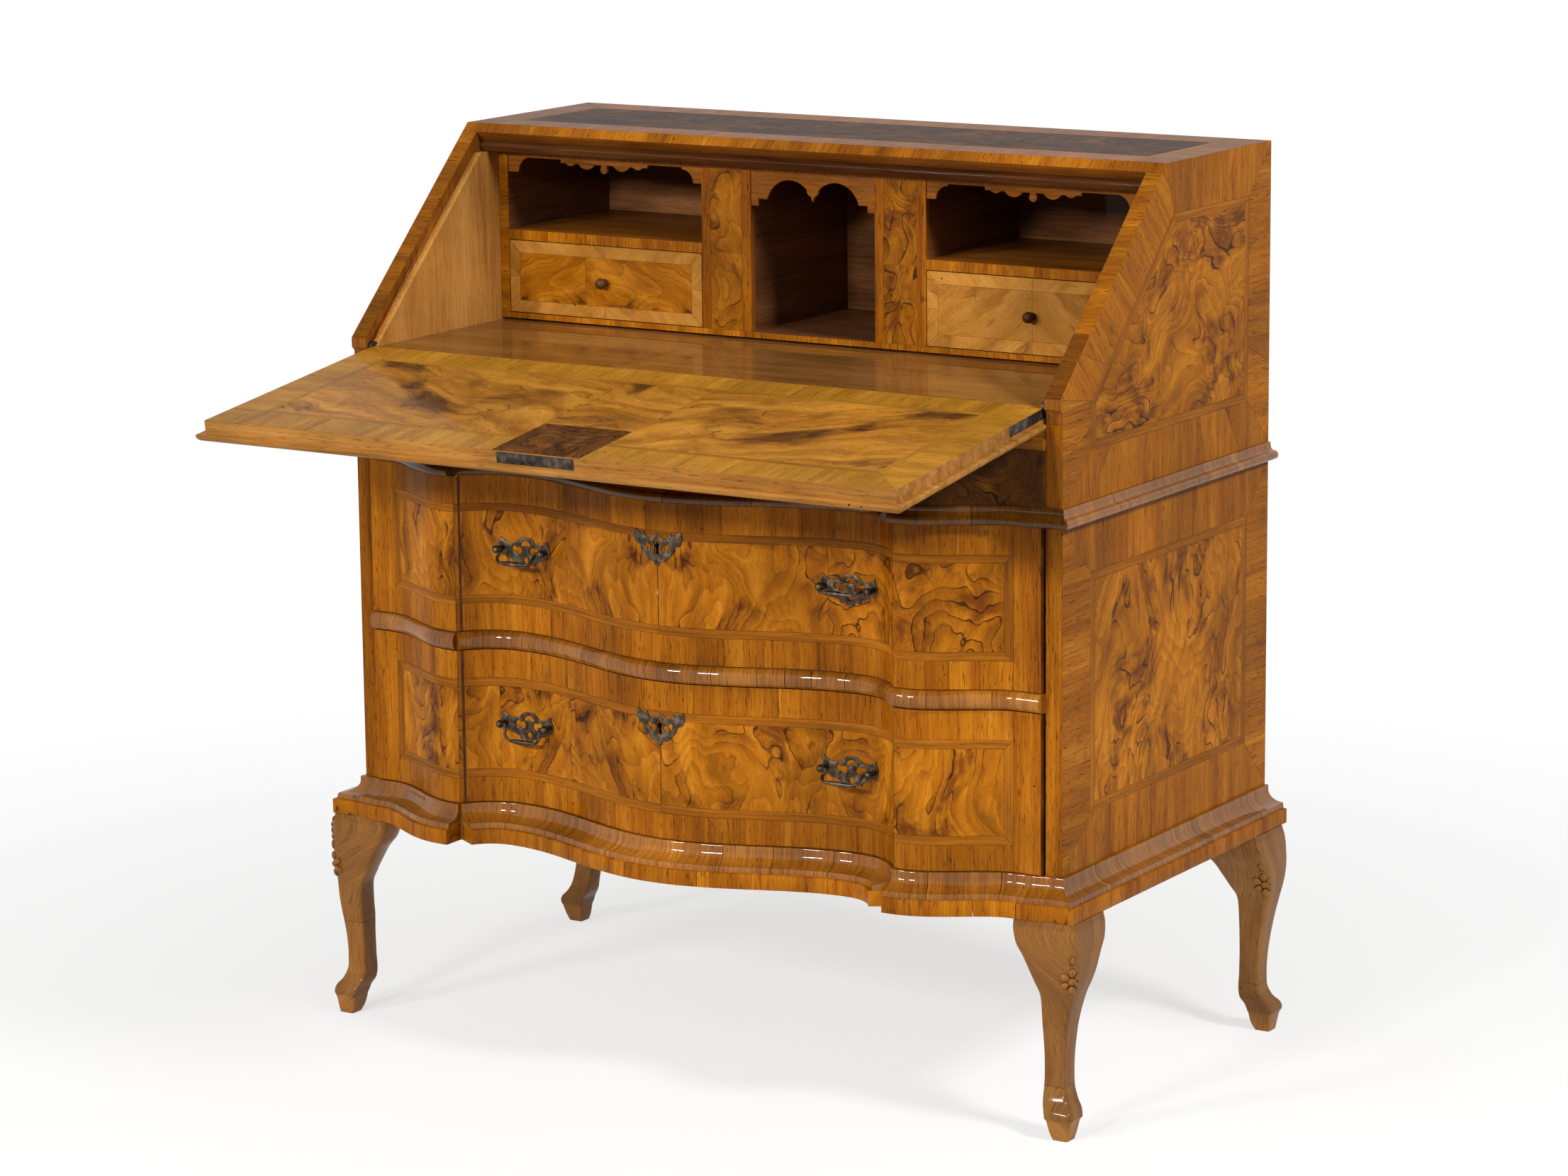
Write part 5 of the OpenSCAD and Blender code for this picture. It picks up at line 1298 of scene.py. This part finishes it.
# forged nails along the edges of the back boards
backNails = {"radius": 4.6, "height": 0.4, "uneven": 0.14, "seed": 9, "y": 488.7}
heads = [(side * 441, z) for side in (-1, 1) for z in range(285, 1000, 88)]
heads += [(x, z) for z in (275, 700, 1005) for x in (-330, -215, -95, 25, 140, 250, 355)]
sites = [(place(x, backNails["y"], z), (0, 1, 0)) for x, z in heads]
setPins("backBoardNails", sites, backNails, iron, "case")
print("pins set")


# the carried-over CAD nodes
def coat(material, *names):
    for name in names:
        for slot in nodes[name].material_slots:
            slot.material = material
        if not nodes[name].material_slots:
            nodes[name].data.materials.append(material)


coat(darkWalnut["x"], "upper_front", "lower_front", "frieze_panel")
coat(solidWalnut["x"], "drawer_rail", "waist_rail", "bottom_rail", "stiles", "small_drawer_left",
     "small_drawer_right")
coat(liningWalnut, "side_linings")
coat(solidWalnut["z"], "pilaster_fronts")
coat(fittingWalnut["x"], "fittings_back", "fittings_floor")
coat(fittingWalnut["y"], "fittings_partitions")
coat(bedWalnut, "writing_bed", "well_cover")
coat(edgeWalnut, "fall_board")
coat(pine["x"], "dust_board", "well_box", "back_boards", "case_bottom")
coat(pine["y"], "drawer_runners", "upper_box", "lower_box")
for label in ("upper", "lower"):
    coat(bronze, label + "_posts", label + "_bail_left", label + "_bail_right")
    coat(iron, label + "_lock", label + "_bolt")
coat(iron, "fall_lock", "fall_bolt", "fall_pivots", "pivot_sockets")
print("frame nodes finished")


# floor, light and camera
studio = {"world": 0.3, "front": 92, "left": 84, "right": 97, "paper": (2.918, -4.526, 0.5628)}


def looksAt(tree):
    # 1 for what the camera sees, straight, in a reflection or through glass; 0 for light on its way
    path = addNode(tree, "ShaderNodeLightPath")
    mirrored = addNode(tree, "ShaderNodeMath", {"operation": "MAXIMUM"},
                       {0: path.outputs["Is Glossy Ray"], 1: path.outputs["Is Transmission Ray"]})
    return addNode(tree, "ShaderNodeMath", {"operation": "MAXIMUM"},
                   {0: path.outputs["Is Camera Ray"], 1: mirrored.outputs[0]})


# White matt paper under and behind the desk, which keeps the shadow; to the camera, in reflections and
# through glass it glows a little, and further off fully, so that the background is white. Beside it the
# floor is as white to all of these, and only the lamps' light finds it grey.
paper, tree = newMaterial("seamlessPaper")
where = addNode(tree, "ShaderNodeTexCoord")
mottle = addNode(tree, "ShaderNodeTexNoise", {"Scale": 3.0, "Detail": 3.0},
                 {"Vector": where.outputs["Object"]})
px, py, paperTurn = studio["paper"]
strip = addNode(tree, "ShaderNodeMapping",
                {"vector_type": "TEXTURE", "Location": (px, py, 0), "Rotation": (0, 0, paperTurn)},
                {"Vector": where.outputs["Object"]})
parts = addNode(tree, "ShaderNodeSeparateXYZ", None, {"Vector": strip.outputs["Vector"]})
aside = addNode(tree, "ShaderNodeMath", {"operation": "ABSOLUTE"}, {0: parts.outputs["X"]})
edge = addNode(tree, "ShaderNodeMath", {"operation": "MULTIPLY_ADD", 1: -0.17},
               {0: parts.outputs["Y"], 2: aside.outputs[0]})
inside = addNode(tree, "ShaderNodeMapRange",
                 {"From Min": 0.3, "From Max": 0.06, "interpolation_type": "SMOOTHSTEP"},
                 {"Value": edge.outputs[0]})
before = addNode(tree, "ShaderNodeMapRange",
                 {"From Min": 3.6, "From Max": 4.3, "interpolation_type": "SMOOTHSTEP"},
                 {"Value": parts.outputs["Y"]})
covered = addNode(tree, "ShaderNodeMath", {"operation": "MULTIPLY"},
                  {0: inside.outputs["Result"], 1: before.outputs["Result"]})
tint = addNode(tree, "ShaderNodeMix", {"data_type": "RGBA", 6: linear("#f0f0ef"), 7: linear("#f7f7f6")},
               {0: mottle.outputs["Fac"]})
ground = addNode(tree, "ShaderNodeMix", {"data_type": "RGBA", 6: linear("#807f7e")},
                 {0: covered.outputs[0], 7: tint.outputs[2]})
shader = addNode(tree, "ShaderNodeBsdfPrincipled", {"Roughness": 0.9, "Specular IOR Level": 0.1},
                 {"Base Color": ground.outputs[2]})
glow = addNode(tree, "ShaderNodeEmission", {"Color": (1, 1, 1, 1), "Strength": 1.0})
away = addNode(tree, "ShaderNodeVectorMath", {"operation": "LENGTH"}, {0: where.outputs["Object"]})
share = addNode(tree, "ShaderNodeMapRange", {"From Min": 0.6, "From Max": 1.9, "To Min": 0.66, "To Max": 1.0},
                {"Value": away.outputs["Value"]})
shown = addNode(tree, "ShaderNodeMix", {2: 1.0}, {0: covered.outputs[0], 3: share.outputs["Result"]})
seen = looksAt(tree)
part = addNode(tree, "ShaderNodeMath", {"operation": "MULTIPLY"}, {0: shown.outputs[0], 1: seen.outputs[0]})
mixed = addNode(tree, "ShaderNodeMixShader", None,
                {0: part.outputs[0], 1: shader.outputs["BSDF"], 2: glow.outputs["Emission"]})
addNode(tree, "ShaderNodeOutputMaterial", None, {"Surface": mixed.outputs["Shader"]})
mesh = bpy.data.meshes.new("floor")
mesh.from_pydata([(-34, -34, 0), (34, -34, 0), (34, 34, 0), (-34, 34, 0)], [], [(0, 1, 2, 3)])
mesh.materials.append(paper)
floor = bpy.data.objects.new("floor", mesh)
bpy.context.collection.objects.link(floor)

world = bpy.data.worlds.new("studio")
bpy.context.scene.world = world
world.use_nodes = True
tree = world.node_tree
tree.nodes.clear()
# dim room light, and a white backdrop to the camera, in reflections and through glass
seen = looksAt(tree)
power = addNode(tree, "ShaderNodeMapRange", {"To Min": studio["world"], "To Max": 1.0},
                {"Value": seen.outputs[0]})
background = addNode(tree, "ShaderNodeBackground", {"Color": (1, 1, 1, 1)},
                     {"Strength": power.outputs["Result"]})
addNode(tree, "ShaderNodeOutputWorld", None, {"Surface": background.outputs["Background"]})


def addLamp(name, at, towards, size, power):
    light = bpy.data.lights.new(name, "AREA")
    light.shape, light.size, light.size_y = "RECTANGLE", size[0], size[1]
    light.energy = power
    lamp = bpy.data.objects.new(name, light)
    lamp.location = at
    lamp.rotation_euler = (Vector(towards) - Vector(at)).to_track_quat("-Z", "Y").to_euler()
    bpy.context.collection.objects.link(lamp)


addLamp("frontSoftbox", (-0.1, -4.2, 2.15), (0, 0, 0.6), (0.65, 0.42), studio["front"])
addLamp("leftSoftbox", (-1.5, -3.95, 2.15), (0, 0, 0.6), (0.65, 0.42), studio["left"])
addLamp("rightSoftbox", (3.0, -0.5, 2.7), (0, 0.1, 0.6), (0.6, 0.6), studio["right"])

# the photograph's standpoint: right of the middle and above, with a long lens
view = {"place": (2.918, -4.526, 1.651), "yaw": 0.5628, "pitch": 0.2022, "roll": -0.0103, "lens": 110.8}
yaw, pitch, roll = view["yaw"], view["pitch"], view["roll"]
ahead = Vector((-math.sin(yaw) * math.cos(pitch), math.cos(yaw) * math.cos(pitch), -math.sin(pitch)))
level = Vector((math.cos(yaw), math.sin(yaw), 0))
above = level.cross(ahead)
across = level * math.cos(roll) + above * math.sin(roll)
upward = above * math.cos(roll) - level * math.sin(roll)
camera = bpy.data.objects.new("camera", bpy.data.cameras.new("camera"))
camera.data.lens = view["lens"]
camera.data.sensor_width = 36
camera.data.sensor_fit = "HORIZONTAL"
turned = Matrix((across, upward, -ahead)).transposed().to_4x4()
camera.matrix_world = Matrix.Translation(view["place"]) @ turned
bpy.context.collection.objects.link(camera)
bpy.context.scene.camera = camera
bpy.context.scene.view_settings.view_transform = "Standard"
print("studio set")

bpy.context.view_layer.update()
